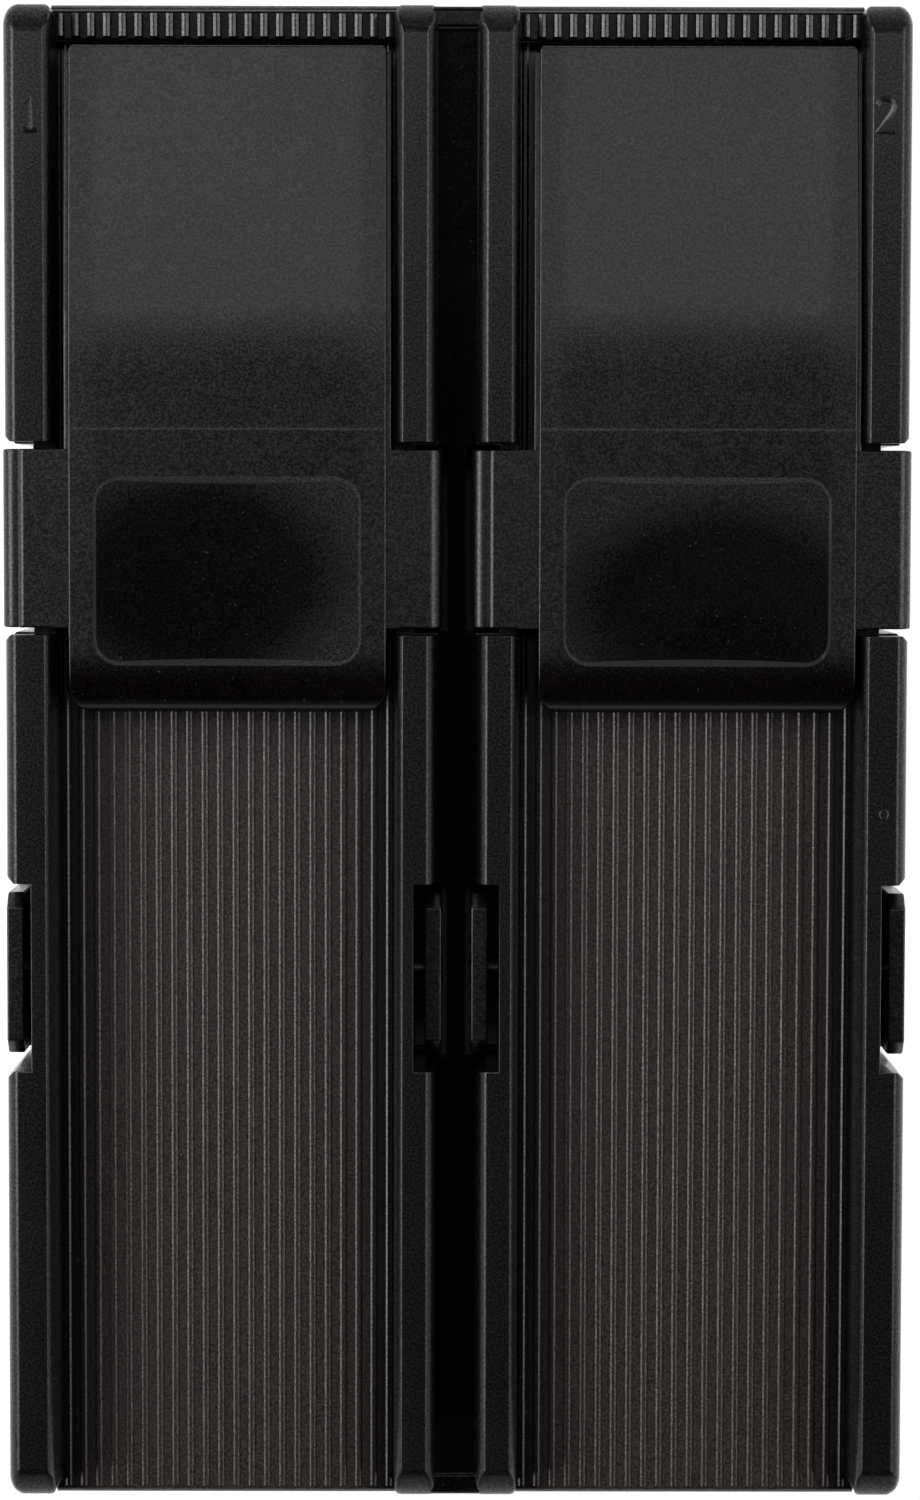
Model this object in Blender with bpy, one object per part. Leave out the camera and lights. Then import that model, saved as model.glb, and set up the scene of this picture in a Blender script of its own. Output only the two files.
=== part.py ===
"""Reed guard: a moulded plate with two reed channels on each face, and four rocking clips.

Metres, +Z up. The plate lies flat with its long side along Y, and the origin is the middle of
its underside. The back face is the front face given half a turn about X, so each face has its
covered channel end where the other has its open one.
"""

import math

import bmesh
import bpy
from mathutils import Matrix, Vector

# Plate
PLATE_LENGTH = 0.0841
PLATE_THICKNESS = 0.0104
WEB_THICKNESS = 0.0016
CHANNEL_WIDTH = 0.0193
CHANNEL_DRAFT = 0.00017
OUTER_RAIL_WIDTH = 0.00248
INNER_RAIL_WIDTH = 0.00232
VALLEY_WIDTH = 0.0022
FLOOR_PROUD = 0.0004

# Rails
RAIL_EDGE_RADIUS = 0.00045
RAIL_END_RADIUS = 0.0011
RAIL_CORNER_RADIUS = 0.0009

# Ribs on the channel floors
RIB_PITCH = 0.00088
RIB_WIDTH = 0.00034
RIB_CREST_WIDTH = 0.00018
RIB_HEIGHT = 0.00025

# Ribbed wall that closes each channel
END_WALL_SETBACK = 0.0001
END_WALL_LENGTH = 0.00195
END_WALL_HEIGHT = 0.0021
END_WALL_EDGE = 0.0003

# Valley between the two inner rails
VALLEY_END_SETBACK = 0.0001
VALLEY_END_LENGTH = 0.0013
VALLEY_END_DROP = 0.0007
STRIP_THICKNESS = 0.0022
STRIP_DROP = 0.0011
STRIP_CLEARANCE = 0.0003

# Clip: the wing that crosses the rails, and its skirts
PIVOT_FROM_END = 0.0297
WING_LENGTH = 0.0100
WING_THICKNESS = 0.00145
WING_DROP = 0.00035
WING_EDGE_RADIUS = 0.00045
SHELF_WIDTH = 0.00085
SHELF_DROP = 0.0004
SHOULDER_WIDTH = 0.00055
SHOULDER_DROP = 0.0002
SKIRT_PROUD = 0.00017
SKIRTS_APART = 0.00166
SKIRT_THICKNESS = 0.00095
SKIRT_END_STEP = 0.0004
SKIRT_TIP_CHAMFER = 0.0008
SKIRT_TIP_INSET = 0.0020

# Clip: the tongue over the reed
TONGUE_CLEARANCE = 0.00075
TONGUE_SHIFT = 0.0003
TONGUE_RAISE = 0.00015
TONGUE_THICKNESS = 0.0016
FLANGE_OVERHANG = 0.00025
FLANGE_DROP = 0.00045
TAIL_GAP = 0.00035
TAIL_THICKNESS = 0.0011
TAIL_CORNER_RADIUS = 0.0003
CREASE_FROM_PIVOT = 0.0060
CREASE_STEP = 0.00005
BEND_FROM_PIVOT = 0.0100
BEND_LENGTH = 0.0060
BEND_DEGREES = 2.6
LIP_REACH = 0.00975
LIP_NOSE_RADIUS = 0.0012
LIP_CORNER_RADIUS = 0.0011

# Clip: the thumb recess
RECESS_WIDTH = 0.0150
RECESS_LENGTH = 0.0106
RECESS_FROM_PIVOT = 0.00182
RECESS_DEPTH = 0.00035
RECESS_SLOPE = 0.0003
RECESS_CORNER_RADIUS = 0.0015

# Pivots and the openings that the clips work in
BOSS_RADIUS = 0.0011
BOSS_CLEARANCE = 0.0001
BOSS_CHAMFER = 0.0003
BOSS_PROUD = 0.00005
SKIRT_CLEARANCE = 0.00063
GAP_CLEARANCE = 0.0004
NOTCH_END_CLEARANCE = 0.0003
STUB_CLEARANCE = 0.0006
NOTCH_CHAMFER = 0.0004

# One overrun for every cut, and the depth that a joined shape sinks into its neighbour
OVERRUN = 0.001
SINK = 0.0003

ROUND_SIDES = 32
ARC_STEPS = 4
BEVEL_SEGMENTS = 3
BEND_STEPS = 4
MERGE_DISTANCE = 0.000001

BLACK_PLASTIC = (0.018, 0.017, 0.016, 1.0)
CLIP_PLASTIC = (0.020, 0.019, 0.018, 1.0)
PLASTIC_ROUGHNESS = 0.42

# Worked out from the sizes above
CHANNEL_INNER = VALLEY_WIDTH / 2 + INNER_RAIL_WIDTH
CHANNEL_OUTER = CHANNEL_INNER + CHANNEL_WIDTH
HALF_WIDTH = CHANNEL_OUTER + OUTER_RAIL_WIDTH
HALF_LENGTH = PLATE_LENGTH / 2
MIDDLE_HEIGHT = PLATE_THICKNESS / 2
FLOOR = WEB_THICKNESS / 2
FLOOR_END = HALF_LENGTH + FLOOR_PROUD
END_WALL_FACE = HALF_LENGTH - END_WALL_SETBACK
VALLEY_END = HALF_LENGTH - VALLEY_END_SETBACK
END_WALL_TOP = FLOOR + END_WALL_HEIGHT
OUTER_SKIRT_FACE = HALF_WIDTH + SKIRT_PROUD
INNER_SKIRT_FACE = SKIRTS_APART / 2
OUTER_NOTCH_WALL = OUTER_SKIRT_FACE - SKIRT_THICKNESS - SKIRT_CLEARANCE
INNER_NOTCH_WALL = INNER_SKIRT_FACE + SKIRT_THICKNESS + SKIRT_CLEARANCE
STRIP_NECK = INNER_SKIRT_FACE - STRIP_CLEARANCE
CLIP_OFFSET = (OUTER_SKIRT_FACE + INNER_SKIRT_FACE) / 2
CLIP_SPAN = OUTER_SKIRT_FACE - INNER_SKIRT_FACE
PIVOT_Y = HALF_LENGTH - PIVOT_FROM_END
GAP_HALF_LENGTH = WING_LENGTH / 2 + GAP_CLEARANCE
NOTCH_HALF_LENGTH = WING_LENGTH / 2 + NOTCH_END_CLEARANCE
WING_TOP = MIDDLE_HEIGHT - WING_DROP
WING_UNDER = WING_TOP - WING_THICKNESS
STUB_TOP = WING_UNDER - STUB_CLEARANCE
TONGUE_WIDTH = CHANNEL_WIDTH - 2 * TONGUE_CLEARANCE
TONGUE_FACE = WING_TOP + TONGUE_RAISE
TONGUE_UNDER = TONGUE_FACE - TONGUE_THICKNESS
TAIL_Y = PIVOT_FROM_END - END_WALL_SETBACK - END_WALL_LENGTH - TAIL_GAP
SKIRT_TIP = -MIDDLE_HEIGHT + SKIRT_TIP_INSET
HALF_TURN = Matrix.Diagonal((1, -1, -1, 1))


def clear_scene():
    for old in list(bpy.data.objects):
        bpy.data.objects.remove(old, do_unlink=True)


def plastic(name, colour):
    material = bpy.data.materials.new(name)
    material.use_nodes = True
    shader = material.node_tree.nodes["Principled BSDF"]
    shader.inputs["Base Color"].default_value = colour
    shader.inputs["Roughness"].default_value = PLASTIC_ROUGHNESS
    shader.inputs["Metallic"].default_value = 0.0
    return material


def new_object(name, mesh):
    thing = bpy.data.objects.new(name, mesh)
    bpy.context.collection.objects.link(thing)
    return thing


def from_bmesh(name, form):
    """Close the form's seams, turn its faces outwards and make it an object."""
    bmesh.ops.remove_doubles(form, verts=form.verts, dist=MERGE_DISTANCE)
    bmesh.ops.recalc_face_normals(form, faces=form.faces)
    mesh = bpy.data.meshes.new(name)
    form.to_mesh(mesh)
    form.free()
    return new_object(name, mesh)


def placed(axis, u, v, along):
    """A point of an outline drawn across an axis: (y, z) across X, (x, z) across Y, (x, y) across Z."""
    if axis == "X":
        return Vector((along, u, v))
    if axis == "Y":
        return Vector((u, along, v))
    return Vector((u, v, along))


def loft(name, axis, first_outline, first_at, last_outline, last_at):
    """A closed solid between two outlines with the same number of points."""
    form = bmesh.new()
    first = [form.verts.new(placed(axis, u, v, first_at)) for u, v in first_outline]
    last = [form.verts.new(placed(axis, u, v, last_at)) for u, v in last_outline]
    form.faces.new(first)
    form.faces.new(list(reversed(last)))
    for here in range(len(first)):
        there = (here + 1) % len(first)
        form.faces.new((first[here], last[here], last[there], first[there]))
    return from_bmesh(name, form)


def prism(name, axis, outline, low, high):
    return loft(name, axis, outline, low, outline, high)


def box(name, low, high):
    outline = [(low[0], low[1]), (high[0], low[1]), (high[0], high[1]), (low[0], high[1])]
    return prism(name, "Z", outline, low[2], high[2])


def arc(centre, radius, start_degrees, end_degrees, steps):
    """Points along an arc, both ends included."""
    points = []
    for step in range(steps + 1):
        turn = math.radians(start_degrees + (end_degrees - start_degrees) * step / steps)
        points.append((centre[0] + radius * math.cos(turn), centre[1] + radius * math.sin(turn)))
    return points


def rounded_rectangle(left, right, bottom, top, bottom_radius, top_radius):
    """Corner by corner, from the lower right one round to the lower left one."""
    outline = arc((right - bottom_radius, bottom + bottom_radius), bottom_radius, -90, 0, ARC_STEPS)
    outline += arc((right - top_radius, top - top_radius), top_radius, 0, 90, ARC_STEPS)
    outline += arc((left + top_radius, top - top_radius), top_radius, 90, 180, ARC_STEPS)
    outline += arc((left + bottom_radius, bottom + bottom_radius), bottom_radius, 180, 270, ARC_STEPS)
    return outline


def boolean(base, operation, others):
    """Replace the base's mesh by its Boolean with the other solids, which are then removed."""
    group = bpy.data.collections.new("operands")
    for other in others:
        group.objects.link(other)
    step = base.modifiers.new(operation, "BOOLEAN")
    step.operation = operation
    step.solver = "EXACT"
    step.operand_type = "COLLECTION"
    step.collection = group
    evaluated = base.evaluated_get(bpy.context.evaluated_depsgraph_get())
    result = bpy.data.meshes.new_from_object(evaluated)
    base.modifiers.clear()
    base.data = result
    bpy.data.collections.remove(group)
    for other in others:
        bpy.data.objects.remove(other, do_unlink=True)
    return base


def half_turned(things):
    """The given solids and a copy of each for the back face."""
    both = list(things)
    for thing in things:
        mesh = thing.data.copy()
        mesh.transform(HALF_TURN)
        both.append(new_object(thing.name + "_back", mesh))
    return both


def on_both_sides(make):
    """Call a maker for the left and for the right side of the plate."""
    return [solid for side in (-1, 1) for solid in make(side)]


def spread(side, near, far):
    """Two distances from the middle plane as a low and a high X on one side."""
    return (near, far) if side > 0 else (-far, -near)


def rib_centres():
    count = round(CHANNEL_WIDTH / RIB_PITCH)
    return [(place - (count - 1) / 2) * RIB_PITCH for place in range(count)]


def ribbed_line(left, right, top):
    """The outline of a ribbed surface across a channel, from left to right."""
    middle = (left + right) / 2
    points = [(left, top)]
    for centre in rib_centres():
        at = middle + centre
        points.append((at - RIB_WIDTH / 2, top))
        points.append((at - RIB_CREST_WIDTH / 2, top + RIB_HEIGHT))
        points.append((at + RIB_CREST_WIDTH / 2, top + RIB_HEIGHT))
        points.append((at + RIB_WIDTH / 2, top))
    return points + [(right, top)]


def channel_web(side):
    """The web between a front channel and the one behind it, with the ribs of both floors."""
    low, high = spread(side, CHANNEL_INNER - SINK, CHANNEL_OUTER + SINK)
    front = ribbed_line(low, high, FLOOR)
    back = [(across, -height) for across, height in reversed(front)]
    return [prism("channel_web", "Y", front + back, -FLOOR_END, FLOOR_END)]


def end_wall(side):
    """The raised ribbed wall at the channel's covered end, with its long edges eased."""
    low, high = spread(side, CHANNEL_INNER - SINK, CHANNEL_OUTER + SINK)
    wall_start = END_WALL_FACE - END_WALL_LENGTH
    outline = ribbed_line(low, high, END_WALL_TOP) + [(high, 0), (low, 0)]
    wall = prism("end_wall", "Y", outline, wall_start - OVERRUN, END_WALL_FACE + OVERRUN)
    eased = [
        (wall_start, FLOOR / 2),
        (END_WALL_FACE, FLOOR / 2),
        (END_WALL_FACE, END_WALL_TOP + RIB_HEIGHT - END_WALL_EDGE),
        (END_WALL_FACE - END_WALL_EDGE, END_WALL_TOP + RIB_HEIGHT),
        (wall_start + END_WALL_EDGE, END_WALL_TOP + RIB_HEIGHT),
        (wall_start, END_WALL_TOP + RIB_HEIGHT - END_WALL_EDGE),
    ]
    envelope = prism("envelope", "X", eased, low - OVERRUN, high + OVERRUN)
    return [boolean(wall, "INTERSECT", [envelope])]


def rail_wall(side, plain_x, channel_x):
    """A rail of the front face and the one behind it, as one wall with rounded tops and ends.

    plain_x is the distance of its straight face from the plate's middle, channel_x that of its
    face towards the channel, which leans out by the draft down to the middle of the plate.
    """
    lean = CHANNEL_DRAFT if plain_x < channel_x else -CHANNEL_DRAFT
    outline = [
        (side * plain_x, -MIDDLE_HEIGHT),
        (side * channel_x, -MIDDLE_HEIGHT),
        (side * (channel_x + lean), 0),
        (side * channel_x, MIDDLE_HEIGHT),
        (side * plain_x, MIDDLE_HEIGHT),
    ]
    wall = prism("rail_wall", "Y", outline, -HALF_LENGTH, HALF_LENGTH)
    largest = max(RAIL_EDGE_RADIUS, RAIL_END_RADIUS, RAIL_CORNER_RADIUS)
    form = bmesh.new()
    form.from_mesh(wall.data)
    weights = form.edges.layers.float.new("bevel_weight_edge")
    for edge in form.edges:
        first, last = (corner.co for corner in edge.verts)
        across = abs(first.x - last.x)
        on_face = abs(first.z) > FLOOR and abs(last.z) > FLOOR and first.z * last.z > 0
        on_end = abs(first.y - last.y) < MERGE_DISTANCE
        if on_face and on_end and across > CHANNEL_DRAFT:
            edge[weights] = RAIL_END_RADIUS / largest
        elif on_face:
            edge[weights] = RAIL_EDGE_RADIUS / largest
        elif on_end:
            edge[weights] = RAIL_CORNER_RADIUS / largest
    form.to_mesh(wall.data)
    form.free()
    bevel = wall.modifiers.new("rounding", "BEVEL")
    bevel.width = largest
    bevel.segments = BEVEL_SEGMENTS
    bevel.limit_method = "WEIGHT"
    evaluated = wall.evaluated_get(bpy.context.evaluated_depsgraph_get())
    rounded = bpy.data.meshes.new_from_object(evaluated)
    wall.modifiers.clear()
    wall.data = rounded
    return wall


def rail_walls(side):
    return [
        rail_wall(side, HALF_WIDTH, CHANNEL_OUTER),
        rail_wall(side, VALLEY_WIDTH / 2, CHANNEL_INNER),
    ]


def valley_strip():
    """The web that joins the halves: it slants from near the front face to near the back one."""
    reach = VALLEY_WIDTH / 2 + SINK
    high = MIDDLE_HEIGHT - STRIP_DROP
    slanted = [
        (-VALLEY_END, -high),
        (VALLEY_END, high - STRIP_THICKNESS),
        (VALLEY_END, high),
        (-VALLEY_END, -high + STRIP_THICKNESS),
    ]
    return prism("valley_strip", "X", slanted, -reach, reach)


def valley_ends():
    """A short wall that closes the valley at each end of the plate."""
    reach = VALLEY_WIDTH / 2 + SINK
    top = MIDDLE_HEIGHT - VALLEY_END_DROP
    ends = []
    for way in (-1, 1):
        low, high = sorted((way * VALLEY_END, way * (VALLEY_END - VALLEY_END_LENGTH)))
        ends.append(box("valley_end", (-reach, low, -top), (reach, high, top)))
    return ends


def bosses(side):
    """The two pivot bosses of one front clip, each with a chamfered tip."""
    made = []
    for root, tip in (
        (OUTER_NOTCH_WALL - SINK, OUTER_SKIRT_FACE + BOSS_PROUD),
        (INNER_NOTCH_WALL + SINK, INNER_SKIRT_FACE - BOSS_PROUD),
    ):
        back = -BOSS_CHAMFER if tip > root else BOSS_CHAMFER
        ring = arc((PIVOT_Y, 0), BOSS_RADIUS, 0, 360, ROUND_SIDES)[:-1]
        small = arc((PIVOT_Y, 0), BOSS_RADIUS - BOSS_CHAMFER, 0, 360, ROUND_SIDES)[:-1]
        shank = prism("boss", "X", ring, side * root, side * (tip + back))
        cone = loft("boss_tip", "X", ring, side * (tip + back), small, side * tip)
        made.append(boolean(shank, "UNION", [cone]))
    return made


def skirt_notches(side):
    """The two openings, right through the plate, that one front clip's skirts stand in."""
    low_y = PIVOT_Y - NOTCH_HALF_LENGTH
    high_y = PIVOT_Y + NOTCH_HALF_LENGTH
    through = MIDDLE_HEIGHT + OVERRUN
    chamfer_start = side * (HALF_WIDTH - NOTCH_CHAMFER)
    outside = side * (HALF_WIDTH + OVERRUN)
    outline = [
        (side * OUTER_NOTCH_WALL, low_y),
        (chamfer_start, low_y),
        (outside, low_y - NOTCH_CHAMFER - OVERRUN),
        (outside, high_y + NOTCH_CHAMFER + OVERRUN),
        (chamfer_start, high_y),
        (side * OUTER_NOTCH_WALL, high_y),
    ]
    near, far = spread(side, STRIP_NECK, INNER_NOTCH_WALL)
    return [
        prism("outer_notch", "Z", outline, -through, through),
        box("inner_notch", (near, low_y, -through), (far, high_y, through)),
    ]


def wing_gaps(side):
    """The gaps in the two front rails that one front clip's wing crosses."""
    low_y = PIVOT_Y - GAP_HALF_LENGTH
    high_y = PIVOT_Y + GAP_HALF_LENGTH
    above = MIDDLE_HEIGHT + OVERRUN
    gaps = []
    for near, far in (
        (CHANNEL_OUTER - OVERRUN, HALF_WIDTH + OVERRUN),
        (STRIP_NECK, CHANNEL_INNER + OVERRUN),
    ):
        low_x, high_x = spread(side, near, far)
        gaps.append(box("wing_gap", (low_x, low_y, STUB_TOP), (high_x, high_y, above)))
    return gaps


def make_plate():
    """The one moulding that carries everything, modelled about the middle of its thickness."""
    plate = valley_strip()
    webs = on_both_sides(channel_web) + valley_ends()
    boolean(plate, "UNION", webs + half_turned(on_both_sides(end_wall)))
    boolean(plate, "UNION", on_both_sides(rail_walls))
    boolean(plate, "DIFFERENCE", half_turned(on_both_sides(wing_gaps)))
    boolean(plate, "DIFFERENCE", half_turned(on_both_sides(skirt_notches)))
    boolean(plate, "UNION", half_turned(on_both_sides(bosses)))
    plate.name = "body"
    plate.location = (0, 0, MIDDLE_HEIGHT)
    return plate


def face_height(along):
    """The tongue's face above the pivot: level past the crease, then bent down towards the tail."""
    height = TONGUE_FACE - CREASE_STEP
    slope = math.tan(math.radians(BEND_DEGREES))
    into_bend = min(max(along - BEND_FROM_PIVOT, 0), BEND_LENGTH)
    past_bend = max(along - BEND_FROM_PIVOT - BEND_LENGTH, 0)
    return height - slope * (into_bend * into_bend / BEND_LENGTH / 2 + past_bend)


def tail_stations():
    """Where the tail's outline has points: the crease, the steps of the bend, and the end."""
    bend = [BEND_FROM_PIVOT + BEND_LENGTH * step / BEND_STEPS for step in range(BEND_STEPS + 1)]
    return [CREASE_FROM_PIVOT + CREASE_STEP] + bend


def tongue_side():
    """The tongue's outline seen from the side, lip to tail along the top and back underneath."""
    nose = (-LIP_REACH + LIP_NOSE_RADIUS, TONGUE_FACE - LIP_NOSE_RADIUS)
    outline = arc(nose, LIP_NOSE_RADIUS, 180, 90, ARC_STEPS)
    outline.append((CREASE_FROM_PIVOT, TONGUE_FACE))
    outline += [(along, face_height(along)) for along in tail_stations() + [TAIL_Y]]
    outline.append((TAIL_Y, face_height(TAIL_Y) - TAIL_THICKNESS))
    outline.append((BEND_FROM_PIVOT, face_height(BEND_FROM_PIVOT) - TAIL_THICKNESS))
    return outline + [(CREASE_FROM_PIVOT, TONGUE_UNDER), (-LIP_REACH, TONGUE_UNDER)]


def make_tongue():
    side = prism("tongue", "X", tongue_side(), -TONGUE_WIDTH, TONGUE_WIDTH)
    half = TONGUE_WIDTH / 2
    plan = rounded_rectangle(-half, half, -LIP_REACH, TAIL_Y, LIP_CORNER_RADIUS, TAIL_CORNER_RADIUS)
    trim = prism("plan", "Z", plan, TONGUE_UNDER - OVERRUN, TONGUE_FACE + OVERRUN)
    return boolean(side, "INTERSECT", [trim])


def make_flange():
    """The tongue's wider lower layer, from the wing to the tail."""
    half = TONGUE_WIDTH / 2 + FLANGE_OVERHANG
    end = TAIL_Y - TAIL_CORNER_RADIUS
    outline = [(0, TONGUE_FACE - FLANGE_DROP)]
    outline += [(along, face_height(along) - FLANGE_DROP) for along in tail_stations() + [end]]
    outline.append((end, face_height(end) - TAIL_THICKNESS))
    outline.append((BEND_FROM_PIVOT, face_height(BEND_FROM_PIVOT) - TAIL_THICKNESS))
    outline += [(CREASE_FROM_PIVOT, TONGUE_UNDER), (0, TONGUE_UNDER)]
    return prism("flange", "X", outline, -half, half)


def make_wing():
    """The wing and its two skirts, as one bent section: stepped at its left end, rounded at its right."""
    half = CLIP_SPAN / 2
    inside = half - SKIRT_THICKNESS
    section = [
        (-half, SKIRT_TIP),
        (-half, WING_TOP - SHELF_DROP),
        (-half + SHELF_WIDTH, WING_TOP - SHELF_DROP),
        (-half + SHELF_WIDTH, WING_TOP - SHOULDER_DROP),
        (-half + SHELF_WIDTH + SHOULDER_WIDTH, WING_TOP),
    ]
    section += arc((half - WING_EDGE_RADIUS, WING_TOP - WING_EDGE_RADIUS), WING_EDGE_RADIUS, 90, 0, ARC_STEPS)
    section += [(half, SKIRT_TIP), (inside, SKIRT_TIP), (inside, WING_UNDER)]
    section += [(-inside, WING_UNDER), (-inside, SKIRT_TIP)]
    reach = WING_LENGTH / 2
    wing = prism("wing", "Y", section, -reach - OVERRUN, reach + OVERRUN)
    tip_reach = reach - SKIRT_END_STEP
    side = [
        (-reach, WING_TOP + OVERRUN),
        (-reach, WING_UNDER),
        (-tip_reach, WING_UNDER),
        (-tip_reach, SKIRT_TIP + SKIRT_TIP_CHAMFER),
        (-tip_reach + SKIRT_TIP_CHAMFER, SKIRT_TIP),
        (-tip_reach + SKIRT_TIP_CHAMFER, SKIRT_TIP - OVERRUN),
        (tip_reach - SKIRT_TIP_CHAMFER, SKIRT_TIP - OVERRUN),
        (tip_reach - SKIRT_TIP_CHAMFER, SKIRT_TIP),
        (tip_reach, SKIRT_TIP + SKIRT_TIP_CHAMFER),
        (tip_reach, WING_UNDER),
        (reach, WING_UNDER),
        (reach, WING_TOP + OVERRUN),
    ]
    envelope = prism("wing_side", "X", side, -half - OVERRUN, half + OVERRUN)
    return boolean(wing, "INTERSECT", [envelope])


def thumb_recess():
    """A shallow dish with sloping walls, cut into the tongue's face."""
    floor = TONGUE_FACE - RECESS_DEPTH
    grow = RECESS_SLOPE * (RECESS_DEPTH + OVERRUN) / RECESS_DEPTH
    low_y = -RECESS_FROM_PIVOT - RECESS_LENGTH / 2
    high_y = -RECESS_FROM_PIVOT + RECESS_LENGTH / 2
    half = RECESS_WIDTH / 2
    radius = RECESS_CORNER_RADIUS
    inset = RECESS_SLOPE
    small = rounded_rectangle(-half + inset, half - inset, low_y + inset, high_y - inset, radius, radius)
    spare = grow - RECESS_SLOPE
    wide = rounded_rectangle(
        -half - spare, half + spare, low_y - spare, high_y + spare, radius + grow, radius + grow
    )
    return loft("recess", "Z", small, floor, wide, TONGUE_FACE + OVERRUN)


def make_clip_mesh():
    """One clip about its pivot axis, its tail towards +Y and its face towards +Z."""
    clip = make_tongue()
    boolean(clip, "UNION", [make_flange()])
    recess = thumb_recess()
    for thing in (clip, recess):
        thing.data.transform(Matrix.Translation((TONGUE_SHIFT, 0, 0)))
    boolean(clip, "UNION", [make_wing()])
    half = CLIP_SPAN / 2 + OVERRUN
    ring = arc((0, 0), BOSS_RADIUS + BOSS_CLEARANCE, 0, 360, ROUND_SIDES)[:-1]
    bore = prism("bore", "X", ring, -half, half)
    boolean(clip, "DIFFERENCE", [bore, recess])
    mesh = clip.data
    mesh.name = "clip"
    bpy.data.objects.remove(clip, do_unlink=True)
    return mesh


def place_clips(mesh):
    """Clips 1 and 2 on the front face, 3 and 4 on the back, each on its pivot axis."""
    places = [(-1, 1), (1, 1), (-1, -1), (1, -1)]
    for number, (side, face) in enumerate(places, start=1):
        clip = new_object(f"clip_{number}", mesh)
        clip.location = (side * CLIP_OFFSET, face * PIVOT_Y, MIDDLE_HEIGHT)
        clip.rotation_euler = (0 if face > 0 else math.pi, 0, 0)


def main():
    clear_scene()
    body = make_plate()
    body.data.materials.clear()
    body.data.materials.append(plastic("body_plastic", BLACK_PLASTIC))
    clip_mesh = make_clip_mesh()
    clip_mesh.materials.clear()
    clip_mesh.materials.append(plastic("clip_plastic", CLIP_PLASTIC))
    place_clips(clip_mesh)


main()
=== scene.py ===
"""Reed guard: the looks of the plate, its ribs and end walls, the four clips and the studio.

Metres, in the frame of the packed model. The operators build one piece each from the sizes and
finishes in the sidebar, and main() calls them in order.
"""

import math

import bmesh
import bpy
from bpy.props import BoolProperty, FloatProperty, FloatVectorProperty, IntProperty, PointerProperty
from mathutils import Matrix, Vector


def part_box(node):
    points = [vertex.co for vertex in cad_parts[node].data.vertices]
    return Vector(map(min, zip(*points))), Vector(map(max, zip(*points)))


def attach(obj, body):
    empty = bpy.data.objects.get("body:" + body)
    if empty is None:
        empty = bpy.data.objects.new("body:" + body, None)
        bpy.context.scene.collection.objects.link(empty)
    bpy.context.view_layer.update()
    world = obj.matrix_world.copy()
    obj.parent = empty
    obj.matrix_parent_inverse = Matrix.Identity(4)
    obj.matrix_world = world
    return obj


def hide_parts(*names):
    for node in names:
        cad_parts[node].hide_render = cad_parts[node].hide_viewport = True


bl_info = {
    "name": "Reed Guard",
    "version": (1, 0, 0),
    "blender": (4, 5, 0),
    "location": "3D View > Sidebar > Reed Guard",
    "description": "Builds a four-reed guard with rocking clips around its packed model",
    "category": "Add Mesh",
}

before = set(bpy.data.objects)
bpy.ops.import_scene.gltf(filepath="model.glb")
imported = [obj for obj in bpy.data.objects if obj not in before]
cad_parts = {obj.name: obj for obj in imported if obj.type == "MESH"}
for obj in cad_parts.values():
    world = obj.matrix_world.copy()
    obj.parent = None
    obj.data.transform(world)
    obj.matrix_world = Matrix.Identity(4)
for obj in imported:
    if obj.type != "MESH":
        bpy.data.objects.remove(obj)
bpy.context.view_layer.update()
BODY_LOW, BODY_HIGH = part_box("body")

# Plate sizes that the sidebar doesn't offer
FLOOR_PROUD = 0.0004
END_WALL_SETBACK = 0.0001
END_WALL_LENGTH = 0.00183
END_WALL_HEIGHT = 0.0021
BAR_PROUD = 0.00025
BAR_EDGE_RADIUS = 0.00021
BAR_INNER_MARGIN = 0.0003
BAR_OUTER_MARGIN = 0.00028
CHANNEL_DRAFT = 0.00017
OUTER_DRAFT = 0.00012
RAIL_EDGE_RADIUS = 0.00042
RAIL_PLAIN_RADIUS = 0.00068
RAIL_END_RADIUS = 0.0012
RAIL_END_STRETCH = 1.45
RAIL_END_SLOPE = 0.5
RAIL_CORNER_RADIUS = 0.00075
RAIL_INNER_CORNER = 0.00035
FLOOR_EDGE_RADIUS = 0.00045
FLOOR_RUNOUT = 0.00035
WALL_EDGE_RADIUS = 0.00025
VALLEY_END_SETBACK = 0.0001
VALLEY_END_LENGTH = 0.0013
VALLEY_END_DROP = 0.0007
STRIP_THICKNESS = 0.0022
STRIP_DROP = 0.0011
STRIP_CLEARANCE = 0.0003

# Clip sizes that the sidebar doesn't offer
PIVOT_FROM_END = 0.0297
WING_DROP = 0.00035
WING_EDGE_RADIUS = 0.00080
SHELF_WIDTH = 0.00088
SHELF_DROP = 0.0004
SHELF_EDGE_RADIUS = 0.00066
SHOULDER_RADIUS = 0.0004
WING_EDGE_ROUNDING = 0.00012
SKIRT_PROUD = 0.00019
SKIRTS_APART = 0.00166
SKIRT_THICKNESS = 0.00095
SKIRT_END_STEP = 0.0004
SKIRT_TIP_CHAMFER = 0.0008
SKIRT_TIP_INSET = 0.0020
TONGUE_CLEARANCE = 0.00075
TONGUE_SHIFT = 0.0003
TONGUE_RAISE = 0.00015
TONGUE_EDGE_RADIUS = 0.00012
FLANGE_OVERHANG = 0.00025
FLANGE_DROP = 0.00045
TAIL_GAP = 0.0003
TAIL_THICKNESS = 0.0011
TAIL_CORNER_RADIUS = 0.0003
CREASE_FROM_PIVOT = 0.0060
CREASE_LENGTH = 0.00026
CREASE_STEP = 0.00002
CREASE_CURVE = 1.4
BEND_FROM_PIVOT = 0.0091
BEND_LENGTH = 0.0038
LIP_REACH = 0.00975
LIP_NOSE_LENGTH = 0.0032
LIP_NOSE_HEIGHT = 0.0012
LIP_CORNER_RADIUS = 0.0013
RECESS_FROM_PIVOT = 0.00182
RECESS_WALL_SLOPE = 0.0005
RECESS_CORNER_RADIUS = 0.0015
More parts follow.
